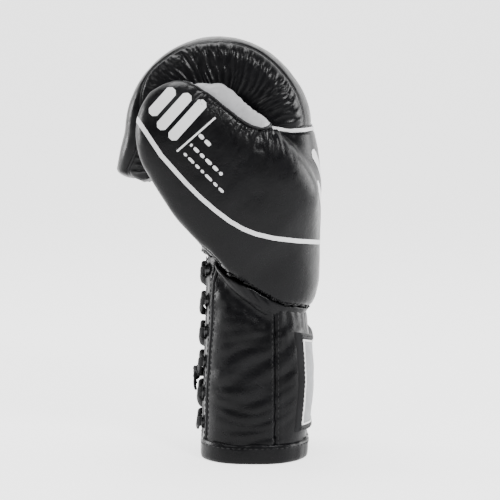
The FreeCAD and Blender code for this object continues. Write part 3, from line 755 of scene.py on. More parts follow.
def mitt_relief(p):
    """Height of the mitt's leather over its plain shape: seams, gathers, folds and swells."""
    y = p[:, 1]
    x, z = drawn(p)
    outside = smooth(-46, -56, y)
    along, above = polyline_place(RIDGE, x, z)
    on_thumb = smooth(-2, 3, thumb_level(p))
    relief = -1.5 * near(ridge_level(p), 1.6) * on_thumb
    # Gathers run down from the ridge seam, and are deepest near its right end.
    under = np.maximum(-above, 0)
    strength = smooth(88, 110, along) * smooth(212, 182, along)
    reach = 12 + 5 * smooth(100, 165, along)
    streaks = folds(along + 0.15 * under + noise(p, 15.0, 15), 4.6, 11)
    streaks = streaks + 0.35 * folds(along - 0.25 * under, 3.4, 12)
    relief += 2.1 * streaks * np.exp(-((under / reach) ** 1.5)) * strength * outside * (above < 0)
    inner = (above >= 0) * on_thumb
    relief += 1.6 * folds(along - 0.4 * above, 8.5, 13, 1.5) * np.exp(-np.maximum(above, 0) / 14) * inner
    relief += 1.2 * noise(p, 12.0, 14) * inner
    # Long soft drag lines fan out from the seam's right end.
    turn = np.arctan2(z - 262, x - 8) * 40
    far = np.hypot(z - 262, x - 8)
    fan = smooth(8, 18, far) * np.exp(-far / 38) * smooth(257, 240, z) * outside
    relief += 0.3 * folds(turn, 9.0, 21, 1.5) * fan
    # Puckers above the wrist crease.
    lift = p[:, 2] - crease_height(p[:, 0], y)
    around = np.arctan2(y, p[:, 0]) * 50
    relief += (0.8 * folds(around, 8.5, 31, 1.6) * np.exp(-np.maximum(lift, 0) / 7)
               * (0.45 + 0.55 * smooth(20, -30, p[:, 0])))
    relief -= 2.6 * np.exp(-((np.maximum(lift, -4) + 3) / 4.0) ** 2)
    relief -= 1.0 * near(np.abs(height_over(BAND, x, z)) - BAND_HALF, 0.8) * (1 - on_thumb)
    relief -= 1.0 * near(palm_level(p), 1.6) * (1 - on_thumb) * smooth(-40, -20, y)
    relief -= 1.6 * near(np.hypot(x - 15, z - 250), 2.4) * outside
    # Soft creases run across the palm, where the hand closes.
    palm = smooth(0, -8, p[:, 0]) * smooth(-50, -30, y)
    relief += 0.9 * folds(p[:, 2] + 0.10 * y, 15.0, 41, 1.4) * palm * smooth(150, 170, p[:, 2])
    relief += 0.6 * noise(p, 38.0, 5) + 0.25 * noise(p, 15.0, 6) + 0.07 * noise(p, 5.0, 7)
    return relief


def displaced(points, faces, relief):
    """Points moved along their normals."""
    return points + vertex_normals(points, faces) * relief[:, None]


def piece(name, body, points, faces, look, replaced=(), thick=0.0, blend=None, fill=None):
    """A finished piece: skins get a real thickness, each rides on its body when it has one, and the CAD nodes
    it stands for are hidden.
    """
    obj = add_mesh(name, points, faces, body, FINISHES[look])
    if thick:
        solid = obj.modifiers.new("thickness", "SOLIDIFY")
        solid.thickness = thick * MM
        solid.offset = -1
        solid.use_even_offset = False
    if blend:
        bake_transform(obj)
    if replaced:
        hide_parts(*replaced)


def from_eye(x, z):
    """Rays that meet the glove where the side drawing shows x, z."""
    x, z = np.ravel(x), np.ravel(z)
    start = np.broadcast_to([EYE_X, -EYE_BACK, EYE_Z], (len(x), 3))
    return start, unit(np.stack([x - EYE_X, np.full(len(x), EYE_BACK), z - EYE_Z], axis=1))


def from_back(y, z):
    """Rays that meet the back of the glove at y, z."""
    y, z = np.ravel(y), np.ravel(z)
    return np.stack([np.full(len(y), 200.0), y, z], axis=1), np.broadcast_to([-1.0, 0, 0], (len(y), 3))


def printed(skin, rays, route, width, chamfer=0.0, lift=0.16):
    """A thin printed strip on a surface, along a route in a drawing, with its corners cut off."""
    route = np.asarray(route, float)
    length = np.hypot(*np.diff(route, axis=0).T).sum()
    rows = max(2, int(length / 0.9))
    flat = np.concatenate([route, np.zeros((len(route), 1))], axis=1)
    line = evenly(flat, length / rows)[:, :2]
    step = np.gradient(line, axis=0)
    normal = unit(np.stack([-step[:, 1], step[:, 0]], axis=1))
    columns = max(3, int(width / 0.9))
    across = np.linspace(-0.5, 0.5, columns)
    done = np.linspace(0, length, len(line))
    trim = np.minimum(done, length - done)
    narrow = width - 2 * np.maximum(0, chamfer - trim) if chamfer else np.full(len(line), width)
    at = line[:, None] + normal[:, None] * (narrow[:, None] * across)[..., None]
    points, _ = skin.hit(*rays(at[..., 0], at[..., 1]), lift)
    faces = grid_faces(len(line), columns)
    return points, faces


def facing_out(points, faces, skin):
    """Faces of a printed strip, turned the same way as the surface under them."""
    return turned(points, faces, skin.near(points[faces[:, 0]])[1])


# Printed marks in the side drawing: three plain bars, a rule and rows of dashes; chevrons on the back.
BAR_UP, BAR_ON = np.array([0.67, 0.74]), np.array([0.74, -0.67])
BAR_MIDDLE, BAR_STEP, BAR_WIDE = np.array([-61.5, 268.5]), 12.0, 8.6
BAR_REACH = ((-14, 13), (-18, 18), (-18, 22))
DASH_ROWS = (((-42, 250.5), (-28, 236.5), 3.0, (4.5, 5.5)), ((-49, 243), (-18, 213), 2.6, (2, 5, 4, 6, 5, 3)),
             ((-54, 236), (-20, 202), 2.2, (3, 6, 4, 3, 7, 4, 5)))
DASH_GAP = 1.9
RULE = ((-59.5, 237.5), (-29.4, 263.8))
CHEVRONS = ((240, 206), (216, 182))
CHEVRON_HALF, CHEVRON_WIDE = 36.0, 9.0


def make_prints(skin, bend):
    """Plain white marks on the thumb's outer leather and on the back of the hand."""
    marks = []
    for k, (low, high) in enumerate(BAR_REACH):
        middle = BAR_MIDDLE + (k - 1) * BAR_STEP * BAR_ON
        marks.append(printed(skin, from_eye, [middle + low * BAR_UP, middle + high * BAR_UP], BAR_WIDE, 2.6))
    marks.append(printed(skin, from_eye, RULE, 1.5))
    for start, end, high, dashes in DASH_ROWS:
        start, end = np.array(start, float), np.array(end, float)
        on, at = unit(end - start), 0.0
        for dash in dashes:
            marks.append(printed(skin, from_eye, [start + on * at, start + on * (at + dash)], high, 0.6))
            at += dash + DASH_GAP
    marks = [(p, facing_out(p, f, skin)) for p, f in marks]
    piece("thumb_printed_marks", None, *merged(*marks), "white_print", blend=bend)
    arms = []
    for high, low in CHEVRONS:
        route = [(-CHEVRON_HALF, high), (0, low), (CHEVRON_HALF, high)]
        arms.append(printed(skin, from_back, route, CHEVRON_WIDE, 3.0))
    arms = [(p, facing_out(p, f, skin)) for p, f in arms]
    piece("hand_printed_chevrons", "hand", *merged(*arms), "white_print")


def outside_cuff(p):
    """How far points lie outside the cuff's rounded-rectangle section."""
    mid, deep, wide = cuff_section(p[:, 2])
    dx = np.abs(p[:, 0] - mid) - deep + CUFF_CORNER
    dy = np.abs(p[:, 1]) - wide + CUFF_CORNER
    return np.hypot(np.maximum(dx, 0), np.maximum(dy, 0)) + np.minimum(np.maximum(dx, dy), 0) - CUFF_CORNER


# The box that the mitt's mesh is found in, and the size of its cells.
MITT_LOW, MITT_HIGH, MITT_CELL = (-100, -92, 104), (62, 68, 304), 1.4
# The section where the fingers leave the hand: its middle, half depth and half width.
ROOT_X, ROOT_Y, ROOT_DEEP, ROOT_WIDE = 18.8, 7.5, 26.8, 52.3


def make_mitt():
    """The leather of the hand and thumb in one closed skin, cut along its seams into panels."""
    points, quads = surface_nets(mitt_field, MITT_LOW, MITT_HIGH, MITT_CELL)
    for rounds in (2, 1):
        points = onto_surface(mitt_field, relaxed(points, quads, rounds))
    tris = triangles(quads)
    labels = []
    for level in (ridge_level, thumb_level, palm_level, band_level, stripe_level):
        points, tris, labels = split(points, tris, level, *labels)
    inner, thumb, palm, band, stripe = labels
    shown = displaced(points, tris, mitt_relief(points))
    middle = points[tris].mean(axis=1)
    at_root = section_distance((middle[:, 0] - ROOT_X) / ROOT_DEEP, (middle[:, 1] - ROOT_Y) / ROOT_WIDE, 2.8)
    under_fingers = at_root < 0.93
    at_top = (np.abs(middle[:, 2] - HAND_TOP) < 0.6) & (thumb_field(middle) > 2.5) & under_fingers
    below_crease = middle[:, 2] < crease_height(middle[:, 0], middle[:, 1]) - 2.4
    at_crease = below_crease & (outside_cuff(middle) < -5.5)
    open_ends = at_top | at_crease
    inner = inner & thumb & ((middle[:, 2] - middle[:, 0]) * TURN > 176)
    band = band & ~inner & ~thumb & (middle[:, 0] > 12)
    palm = palm & ~inner & ~band & ~(thumb & (middle[:, 1] < THUMB_SEAM_Y)) & (middle[:, 1] > -50)
    outer = ~inner & ~palm & ~band
    skin = Skin(shown, tris)
    bend = (("hand", "thumb"), MITT_BLEND)
    p, t = part_of(shown, tris, outer & ~open_ends)
    piece("hand_outer_leather", None, p, t, "black_leather",
          ("hand_back_panel", "hand_back_padding", "thumb_outer_panel", "thumb_padding", "thumb_web_pad"),
          SKIN_THICK, bend, FIRM)
    lifted = shown + vertex_normals(shown, tris) * 0.14
    p, t = part_of(lifted, tris, outer & stripe & (middle[:, 1] < 75))
    piece("hand_printed_stripe", None, p, t, "white_print", blend=bend)
    p, t = part_of(shown, tris, inner)
    # The thumb's inner panel is white leather, coloured darker grey as painted shade.
    piece("thumb_inner_leather", None, p, t, "white_leather", ("thumb_inner_panel",), SKIN_THICK, bend, FIRM)
    p, t = part_of(shown, tris, palm & ~open_ends)
    piece("palm_leather", None, p, t, "black_leather", ("palm_panel", "palm_padding"),
          SKIN_THICK, bend, SOFTER)
    p, t = part_of(points + vertex_normals(points, tris) * 0.5, tris, band)
    piece("knuckle_band_leather", "hand", p, t, "white_print", ("knuckle_band",), BAND_THICK)
    longest = max(border_chains(tris, inner), key=len)
    route = evenly(smoothed(shown[longest], 6), 1.5)
    _, up = skin.near(route)
    welt = tube(smoothed(route, 2), unit(smoothed(up, 4)), 0.95, 1.05)
    piece("thumb_seam_welt", None, *welt, "black_piping", ("thumb_welt",), blend=bend)
    make_prints(skin, bend)


# ---------------------------------------------------------------- the fingers
CURL_X, CURL_Z = -27.0, 256.0
FINGER_ROWS, FINGER_COLUMNS, FINGER_CAP = 190, 264, 12
# Grid columns from the middle of a panel to its seam with the gusset.
SEAM_COLUMN = 33
FINGER_BLEND = dict(start=(0.020, 0, 0.250), end=(-0.010, 0, 0.280))


def finger_sections():
    """The finger compartment's sections, from the hand round the curl to the closed fingertips."""
    share, stops = 0.8, (0, 0.2, 0.4, 0.6, 0.8, 0.9, 1.0)
    place = np.concatenate([np.linspace(0, 1, FINGER_ROWS), np.ones(FINGER_CAP)])
    close = np.concatenate([np.zeros(FINGER_ROWS), np.linspace(0, np.pi / 2, FINGER_CAP + 1)[1:]])
    angle = np.radians(np.clip(place / share, 0, 1) * 184 - 4)
    outer = through(stops, (72.6, 70.8, 70.6, 71, 71.8, 76, 80), place)
    inner = through(stops, (19, 19, 19.5, 20, 22, 31, 45), place)
    narrow = np.cos(close * 0.97)
    wide = through((0, 0.3, 0.6, 0.8, 0.93, 1.0), (ROOT_WIDE, 52, 50.5, 48, 43, 37), place) * narrow
    drop = np.clip(place - share, 0, 1) / (1 - share) * 31.0 + 9.0 * np.sin(close)
    depth, centre = (outer - inner) / 2 * narrow, (outer + inner) / 2
    return place, angle, centre, depth, wide, drop


def make_fingers():
    """The curled finger compartment: knuckle panel, two gathered gussets, inner panel and welts."""
    place, angle, centre, depth, wide, drop = finger_sections()
    rows, columns = len(place), FINGER_COLUMNS
    t = np.linspace(0, 2 * np.pi, columns, endpoint=False)
    # Towards the fingertips the knuckle panel widens and the gussets turn under.
    t = t + 0.60 * smooth(0.60, 0.85, place)[:, None] * np.sin(t)
    power = through((0, 0.15, 0.4, 0.7, 0.85, 1.0), (2.8, 3.0, 5.0, 6.5, 4.5, 3.2), place)[:, None]
    spread = section_distance(np.cos(t), np.sin(t), power)
    cx, cy = np.cos(t) / spread, np.sin(t) / spread
    radial = centre[:, None] + depth[:, None] * cx
    y = ROOT_Y + wide[:, None] * cy
    x = CURL_X + radial * np.cos(angle)[:, None]
    z = CURL_Z + radial * np.sin(angle)[:, None] - drop[:, None]
    grid = np.stack([x, y, z], axis=-1)
    points = grid.reshape(-1, 3)
    faces = outward(points, grid_faces(rows, columns, closed_columns=True))
    # Distances on the leather: along the curl, and round the section from the nearest seam.
    along = travelled(grid[:, 0])[:, None]
    round_step = np.linalg.norm(np.diff(grid, axis=1, append=grid[:, :1]), axis=2)
    seams = [SEAM_COLUMN, columns // 2 - SEAM_COLUMN, columns // 2 + SEAM_COLUMN, columns - SEAM_COLUMN]
    passed = np.concatenate([np.zeros((rows, 1)), np.cumsum(round_step, axis=1)[:, :-1]], axis=1)
    off = np.min([np.abs(passed - passed[:, [s]]) for s in seams], axis=0)
    off_outer = np.min([np.abs(passed - passed[:, [s]]) for s in (seams[0], seams[3])], axis=0)
    column = np.arange(columns)
    gusset = ((column > seams[0]) & (column < seams[1])) | ((column > seams[2]) & (column < seams[3]))
    gusset = np.broadcast_to(gusset, off.shape)
    across_half = np.where(gusset, off, 0)
    begun = smooth(3, 16, along) * np.ones_like(off)
    flat = (along * np.ones_like(off)).ravel()
    wander = 3.2 * noise(points, 16.0, 57) + 1.2 * noise(points, 6.0, 58)
    lean = (flat + 0.3 * off_outer.ravel() + wander, flat - 0.25 * off_outer.ravel() - wander)
    gathers = (folds(lean[0], 6.4, 51, 2.2) + 0.5 * folds(lean[1], 3.7, 52, 1.8)).reshape(off.shape)
    fade = smooth(-1, 9, off) * (0.4 + 0.6 * np.exp(-np.maximum(off - 9, 0) / 10))
    relief = -2.2 * gathers * gusset * fade * begun
    relief += 1.8 * smooth(0, 14, across_half) * gusset
    relief += 0.2 * folds(flat, 6.6, 53, 1.4).reshape(off.shape) * np.exp(-off / 5) * ~gusset * begun
    relief -= 1.3 * near(off, 1.5) * (0.4 + 0.6 * begun)
    relief -= 1.0 * smooth(12, 2, along)
    soft = noise(points, 34.0, 54) * 0.8 + noise(points, 13.0, 55) * 0.3 + noise(points, 4.5, 56) * 0.07
    relief += soft.reshape(off.shape) * smooth(2, 20, along)
    relief[-3:] *= 0.2
    shown = displaced(points, faces, relief.ravel())
    tip = shown[-columns:].mean(axis=0)
    shown = np.concatenate([shown, [tip]])
    index = np.minimum(faces % columns, columns - 1)
    wraps = index.max(axis=1) - index.min(axis=1) > 1
    first = np.where(wraps, columns - 1, index.min(axis=1))
    last = (rows - 1) * columns
    ring = np.arange(columns)
    fan = np.stack([last + ring, last + (ring + 1) % columns, np.full(columns, rows * columns)], axis=1)
    fan = turned(shown, fan, (0, 0, -1))
    faces = triangles(faces)
    first = np.concatenate([first, first, ring])
    faces = np.concatenate([faces, fan])
    ranges = (("knuckle_leather", (first >= seams[3]) | (first < seams[0]),
               ("knuckle_panel", "knuckle_padding_outer")),
              ("finger_gusset_leather_little", (first >= seams[0]) & (first < seams[1]),
               ("finger_gusset_little_side",)),
              ("finger_inner_leather", (first >= seams[1]) & (first < seams[2]),
               ("finger_inner_panel", "finger_padding_inner")),
              ("finger_gusset_leather_thumb", (first >= seams[2]) & (first < seams[3]),
               ("finger_gusset_thumb_side",)))
    bend = (("hand", "fingers"), FINGER_BLEND)
    for name, keep, replaced in ranges:
        p, f = part_of(shown, faces, keep)
        piece(name, None, p, f, "black_leather", replaced, FINGER_THICK, bend, FIRM)
    normals = vertex_normals(shown, faces)
    for side, seam in (("little", seams[0]), ("thumb", seams[3])):
        at = np.arange(FINGER_ROWS + FINGER_CAP - 4)[3:] * columns + seam
        welt = tube(smoothed(shown[at], 3), normals[at], 1.0, 1.05)
        piece(f"knuckle_seam_welt_{side}", None, *welt, "black_piping",
              (f"knuckle_welt_{side}_side",), blend=bend)


# ---------------------------------------------------------------- the cuff
CUFF_AT = (-5, 24, 60, 112, 175)
CUFF_MID = (0, 1.5, 3.5, 3.0, 2.0)
CUFF_DEEP = (40, 41, 42, 39.5, 38)
CUFF_WIDE = (52, 52, 51, 48.5, 47)
CUFF_CORNER = 34.0
FLAT_SHARE = 0.15
SIDE_SEAM_X, GAP_HALF, FACING_HALF = 16.8, 13.0, 30.8
# The way round the cuff, for noise, and half the flat sides of the section that angles are spaced on.
CUFF_ROUND = 320
FLAT_DEEP, FLAT_WIDE = 7.0, 18.0
# The foot of the leather, inside the hem, and a height near the wrist crease.
CUFF_FOOT, RIM_HIGH = 1.5, 130.0
# Stitched lines on the cuff: their lift, their lowest height and their distance below the crease.
SEWN = 0.0, 16.0, 3.0


def outline_turns():
    """Angles whose points are evenly spaced round the cuff's rounded-rectangle section."""
    t = np.linspace(0, 2 * np.pi, 4001)
    x = FLAT_DEEP * np.clip(np.cos(t) / FLAT_SHARE, -1, 1) + CUFF_CORNER * np.cos(t)
    y = FLAT_WIDE * np.clip(np.sin(t) / FLAT_SHARE, -1, 1) + CUFF_CORNER * np.sin(t)
    done = np.concatenate([[0], np.cumsum(np.hypot(np.diff(x), np.diff(y)))])
    return done / done[-1], t


TURN_SHARE, TURN_ANGLE = outline_turns()


def cuff_section(z):
    """The middle, half depth and half width of the cuff at a height."""
    return [through(CUFF_AT, values, np.asarray(z, float)) for values in (CUFF_MID, CUFF_DEEP, CUFF_WIDE)]


def cuff_point(turn, z, out=0.0):
    """A point of the cuff's outer face: turn runs 0 to 1 from the palm's middle over the thumb side."""
    mid, deep, wide = cuff_section(z)
    t = np.interp(np.mod(turn, 1.0), TURN_SHARE, TURN_ANGLE)
    cx, cy, r = np.cos(t), np.sin(t), CUFF_CORNER + out
    x = mid - ((deep - CUFF_CORNER) * np.clip(cx / FLAT_SHARE, -1, 1) + r * cx)
    y = -((wide - CUFF_CORNER) * np.clip(cy / FLAT_SHARE, -1, 1) + r * cy)
    return np.stack(np.broadcast_arrays(x, y, z), axis=-1)


def rim_places(turn):
    """Where the cuff's outer face is, in x and y, at a height near the wrist crease."""
    rim = cuff_point(turn, RIM_HIGH + 0 * turn)
    return rim[..., 0], rim[..., 1]


def on_flank(x, y):
    """1 on the palm side of the cuff's two flanks, and 0 on the back and the lacing."""
    return smooth(22, 8, x) * smooth(14, 30, np.abs(y))


def fold_height(x, y):
    """How far the wrist fold hangs below the crease: most on the flanks, short of the side seams."""
    low = through((-36, -26, -10, 10, 16, 26), (1, 4, 9, 11, 8, 2), x) * smooth(14, 30, np.abs(y))
    return 1.5 + 3.5 * behind_flaps(x, y) + low


def behind_flaps(x, y):
    """0 on the palm side, where the flaps open past the fold, and 1 elsewhere."""
    return np.maximum(smooth(-34, -24, x), smooth(30, 38, np.abs(y)))


def cuff_relief(p):
    """Soft diagonal wrinkles on the sides, pleats under the crease, seams, and a calm patch."""
    x, y, z = p.T
    around = np.arctan2(y, x) * 46
    down = crease_height(x, y) - z
    patch = smooth(28, 36, x) * smooth(15, 25, z) * smooth(104, 94, z)
    palm = smooth(-26, -34, x)
    side = np.sign(y)
    diagonal = z + side * 0.55 * around + noise(p, 40.0, 61) * 10
    wrinkles = 0.75 * folds(diagonal, 21.0, 62, 1.3) + 0.35 * folds(diagonal + 0.4 * around, 9.0, 63, 1.5)
    relief = wrinkles * (1 - 0.75 * palm)
    relief += 1.0 * folds(around + 0.1 * z, 7.5, 64, 1.5) * np.exp(-np.maximum(down - 4, 0) / 11) * (1 - palm)
    relief += 0.5 * noise(p, 30.0, 65) + 0.22 * noise(p, 11.0, 66) + 0.06 * noise(p, 4.5, 67)
    relief *= 1 - 0.85 * patch
    relief -= 1.2 * near(x - SIDE_SEAM_X, 1.4)
    relief += 0.5 * near(np.abs(x - SIDE_SEAM_X) - 4.0, 2.2)
    relief -= 1.0 * near(np.abs(y) - FACING_HALF, 1.3) * (x < 0)
    relief -= 1.4 * smooth(6, 0, down)
    relief -= 2.2 * on_flank(x, y) * np.exp(-((down - fold_height(x, y) - 3) / 8.0) ** 2)
    return relief


def line_on_cuff(skin, lift, low, high_off, x=None, y=None, side=-1):
    """A vertical line on the cuff's skin at a given x, or at a given y on the palm side."""
    z = np.linspace(low, 170.0, 220)
    if x is not None:
        start = np.stack([np.full(len(z), x), np.full(len(z), side * 200.0), z], axis=1)
        way = np.array([0, -side, 0.0])
    else:
        start = np.stack([np.full(len(z), -200.0), np.full(len(z), y), z], axis=1)
        way = np.array([1.0, 0, 0])
    found = [skin.tree.ray_cast(Vector(s), Vector(way)) for s in start]
    rows = [(np.array(f[0]), np.array(f[1])) for f in found if f[0] is not None]
    at, normals = np.array([r[0] for r in rows]), np.array([r[1] for r in rows])
    keep = at[:, 2] < crease_height(at[:, 0], at[:, 1]) - high_off
    return at[keep] + normals[keep] * lift, normals[keep]


def gap_edge(side):
    """The facing's turned edge along the lacing gap, round the flap's foam and back inside it."""
    profile = ((0.15, 16.5), (0.55, 15.0), (0.5, 13.6), (-0.3, 12.75), (-2.0, 12.4), (-5.0, 12.4),
               (-7.4, 12.7), (-8.6, 13.8), (-8.9, 16.0), (-8.9, 23.0))
    z = np.linspace(2.0, 151.0, 110)
    at = np.array(profile)
    palm = cuff_point(0.0, z)[:, 0]
    wave = 0.35 * noise(z, 14.0, 71 + side)
    x = palm[:, None] - at[:, 0] * (1 + 0.04 * wave[:, None])
    y = side * (at[:, 1] + wave[:, None] * 0.8)
    points = np.stack(np.broadcast_arrays(x, y, z[:, None]), axis=-1).reshape(-1, 3)
    return points, grid_faces(len(z), len(profile))


def make_hem():
    """The hem binding: a soft lumpy band, turned under the mouth of the cuff."""
    profile = ((-0.6, 15.4), (0.9, 15.2), (1.6, 14.2), (1.8, 11.0), (2.0, 7.0), (2.0, 3.4), (1.5, 1.2),
               (0.3, 0.15), (-3.0, 0.0), (-6.6, 0.1), (-8.6, 1.2), (-9.2, 5.0), (-9.2, 11.0))
    columns = 340
    turn = np.linspace(0, 1, columns, endpoint=False)[:, None]
    out, z = np.array(profile).T
    around = (turn * CUFF_ROUND).ravel()
    lump = noise(around, 17.0, 72)[:, None] + 0.6 * noise(around, 6.0, 73)[:, None]
    outer = smooth(-1.0, 1.0, out)
    points = cuff_point(turn, z + 0 * turn)
    normals = unit(points - cuff_point(turn, z + 0 * turn, -1.0))
    points = points + normals * (out + outer * 0.45 * lump)[..., None]
    points[..., 2] = np.maximum(0, points[..., 2] + outer * (z > 9) * 0.8 * lump)
    flat = points.reshape(-1, 3)
    tris = triangles(outward(flat, grid_faces(columns, len(profile), closed_rows=True)))
    labels = []
    for level in (lambda p: p[:, 0] - SIDE_SEAM_X,
                  lambda p: np.abs(p[:, 1]) - GAP_HALF - 0.3 + 100 * (p[:, 0] > 0)):
        flat, tris, labels = split(flat, tris, level, *labels)
    behind, beside = labels
    thumb = flat[tris].mean(axis=1)[:, 1] < 0
    hem_skin = Skin(flat, tris)
    stitches = cuff_point(np.linspace(0.052, 0.948, 700), 12.4, 2.0)
    for name, body, keep, replaced in (
            ("cuff_hem_back", "cuff", behind, "cuff_back_hem_binding"),
            ("cuff_hem_thumb", "thumb_flap", ~behind & beside & thumb, "thumb_flap_hem_binding"),
            ("cuff_hem_little", "little_flap", ~behind & beside & ~thumb, "little_flap_hem_binding")):
        p, f = part_of(flat, tris, keep)
        piece(name, body, p, f, "black_leather", (replaced,))
    for name, body, keep in (("hem_stitches_back", "cuff", stitches[:, 0] > SIDE_SEAM_X + 1),
                             ("hem_stitches_thumb", "thumb_flap",
                              (stitches[:, 0] < SIDE_SEAM_X - 1) & (stitches[:, 1] < 0)),
                             ("hem_stitches_little", "little_flap",
                              (stitches[:, 0] < SIDE_SEAM_X - 1) & (stitches[:, 1] > 0))):
        piece(name, body, *stitch_row(hem_skin, stitches[keep]), "lace_cord")


def make_cuff():
    """The back of the cuff, the two lacing flaps with their facings, piping and stitches."""
    rows, columns = 96, 250
    turn, share = np.meshgrid(np.linspace(0, 1, columns, endpoint=False), np.linspace(0, 1, rows))
    rim_x, rim_y = rim_places(turn)
    top = crease_height(rim_x, rim_y) + 1.0 + 3.0 * behind_flaps(rim_x, rim_y)
    flat = cuff_point(turn, CUFF_FOOT + share * (top - CUFF_FOOT)).reshape(-1, 3)
    tris = triangles(outward(flat, grid_faces(rows, columns, closed_columns=True)))
    labels = []
    for level in (lambda p: p[:, 0] - SIDE_SEAM_X, lambda p: np.abs(p[:, 1]) - GAP_HALF + 100 * (p[:, 0] > 0),
                  lambda p: np.abs(p[:, 1]) - FACING_HALF + 100 * (p[:, 0] > 0)):
        flat, tris, labels = split(flat, tris, level, *labels)
    behind, beside, flap = labels
    shown = displaced(flat, tris, cuff_relief(flat))
    skin = Skin(shown, tris)
    thumb = flat[tris].mean(axis=1)[:, 1] < 0
    p, f = part_of(shown, tris, behind)
    piece("cuff_back_leather", "cuff", p, f, "black_leather",
          ("cuff_back_panel", "cuff_back_padding"), SKIN_THICK, None, SOFTER)
    for side, name, mine in ((-1, "thumb_flap", thumb), (1, "little_flap", ~thumb)):
        p, f = part_of(shown, tris, ~behind & flap & mine)
        piece(f"{name}_leather", name, p, f, "black_leather",
              (f"{name}_panel", f"{name}_padding"), SKIN_THICK, None, SOFTER)
        middle = flat[tris].mean(axis=1)
        holes = np.zeros(len(tris), bool)
        for row in range(LACE_ROWS):
            holes |= np.hypot(middle[:, 1] - side * EYELET_Y, middle[:, 2] - row_height(row)) < EYELET_HOLE
        strip = part_of(shown, tris, ~behind & ~flap & beside & mine & ~holes)
        edge = gap_edge(side)
        edge = (edge[0], edge[1] if side > 0 else edge[1][:, ::-1])
        piece(f"{name}_facing_leather", name, *merged(strip, edge), "black_leather",
              (f"{name}_eyelet_facing",))
        path, up = line_on_cuff(skin, 0.5, 15.0, -2.0, y=side * FACING_HALF)
        piece(f"{name}_piping", name, *tube(smoothed(path, 6), up, 1.25, 1.35), "black_piping",
              (f"{name}_welt",))
        rows_of = []
        for y in (FACING_HALF - 3.4, GAP_HALF + 3.0, FACING_HALF + 3.2):
            path, _ = line_on_cuff(skin, *SEWN, y=side * y)
            rows_of.append(stitch_row(skin, path))
        path, _ = line_on_cuff(skin, *SEWN, x=SIDE_SEAM_X - 2.4, side=side)
        rows_of.append(stitch_row(skin, path))
        piece(f"{name}_stitches", name, *merged(*rows_of), "lace_cord")
        path, _ = line_on_cuff(skin, *SEWN, x=SIDE_SEAM_X + 2.4, side=side)
        piece(f"side_seam_stitches_{name[:-5]}", "cuff", *stitch_row(skin, path), "lace_cord")
    make_hem()


def points_on(around, z):
    """Places on the cuff unrolled flat, for noise."""
    return np.stack([np.ravel(around), 0 * np.ravel(z), np.ravel(z)], axis=1)


def make_wrist_fold():
    """The leather folds that close the wrist crease, full on the palm side of each flank."""
    columns, rows = 330, 32
    turn = np.linspace(0, 1, columns, endpoint=False)[:, None]
    v = np.linspace(0, 1, rows)[None]
    rim_x, rim_y = rim_places(turn)
    crease = crease_height(rim_x, rim_y)
    flank = on_flank(rim_x, rim_y)
    tall = fold_height(rim_x, rim_y)
    z = crease + 5.0 - v * (5.0 + tall)
    arch = np.sin(np.pi * np.clip((z - crease + tall) / (tall + 8.0), 0, 1)) ** 0.8
    arch = arch * smooth(0.2, -2.2, z - crease) * behind_flaps(rim_x, rim_y)
    around = (turn * CUFF_ROUND) * np.ones_like(v)
    down = (crease - z).ravel()
    bent = down + 2.2 * noise(points_on(around, z), 22.0, 83) + 0.12 * around.ravel()
    pleats = (1.1 * folds(bent, 5.2, 81, 1.6)
              + 0.35 * folds(around.ravel() + 0.8 * z.ravel(), 7.5, 82)).reshape(z.shape)
    out = -2.2 + arch * (3.6 + 2.6 * flank + 0.9 * pleats)
    base = cuff_point(turn, z)
    points = base + unit(base - cuff_point(turn, z, -1.0)) * out[..., None]
    flat = points.reshape(-1, 3)
    tris = triangles(outward(flat, grid_faces(columns, rows, closed_rows=True)))
    middle = flat[tris].mean(axis=1)
    keep = ~((middle[:, 0] < 0) & (np.abs(middle[:, 1]) < GAP_HALF + 2))
    p, f = part_of(flat, tris, keep)
    piece("wrist_crease_leather", None, p, f, "black_leather", (), TRIM_THICK,
          (("cuff", "hand"), dict(start=(-0.0052, 0, 0.1235), end=(0.0048, 0, 0.1423))))


# ---------------------------------------------------------------- lacing, tongue, bar and patch
LACE_ROWS, ROW_FIRST, ROW_PITCH, EYELET_Y, EYELET_HOLE = 6, 27.5, 24.0, 20.0, 3.6
LACE_OUT, LACE_INSIDE, LACE_DIP, LACE_TUCKED, LACE_HALF = 3.6, -11.7, 8.0, 9.0, 1.8
LACE_AT_FLAP, LACE_OFF_FLAP = 11.0, 13.5
# The lace spreads flat between these places in x, from inside the eyelets to outside.
LACE_SPREAD = -37.5, -40.5
KNOT_ROW, KNOT_OUT, KNOT_TAIL = 1.5, 6.2, 12.5
# The patch: how far it wraps past the flat of the back, how much its top edge rises at the sides, its
# border's width at the sides and ends, and the pale line's width.
PATCH_REACH, PATCH_LIFT, PATCH_SIDE, PATCH_END, PATCH_LINE = 24.6, 5.5, 1.8, 4.8, 1.5
PATCH_SEAM_SIDE, PATCH_SEAM_END = 0.9, 2.3


def row_height(row):
    """The height of a row of eyelets, counted from the bottom."""
    return ROW_FIRST + ROW_PITCH * row


def face_point(row, out, y, down=0.0):
    """A point that stands out from the cuff's palm side, at a row of eyelets or between two."""
    z = row_height(row)
    return np.array([float(cuff_point(0.0, np.array([z]))[0, 0]) - out, y, z - down])


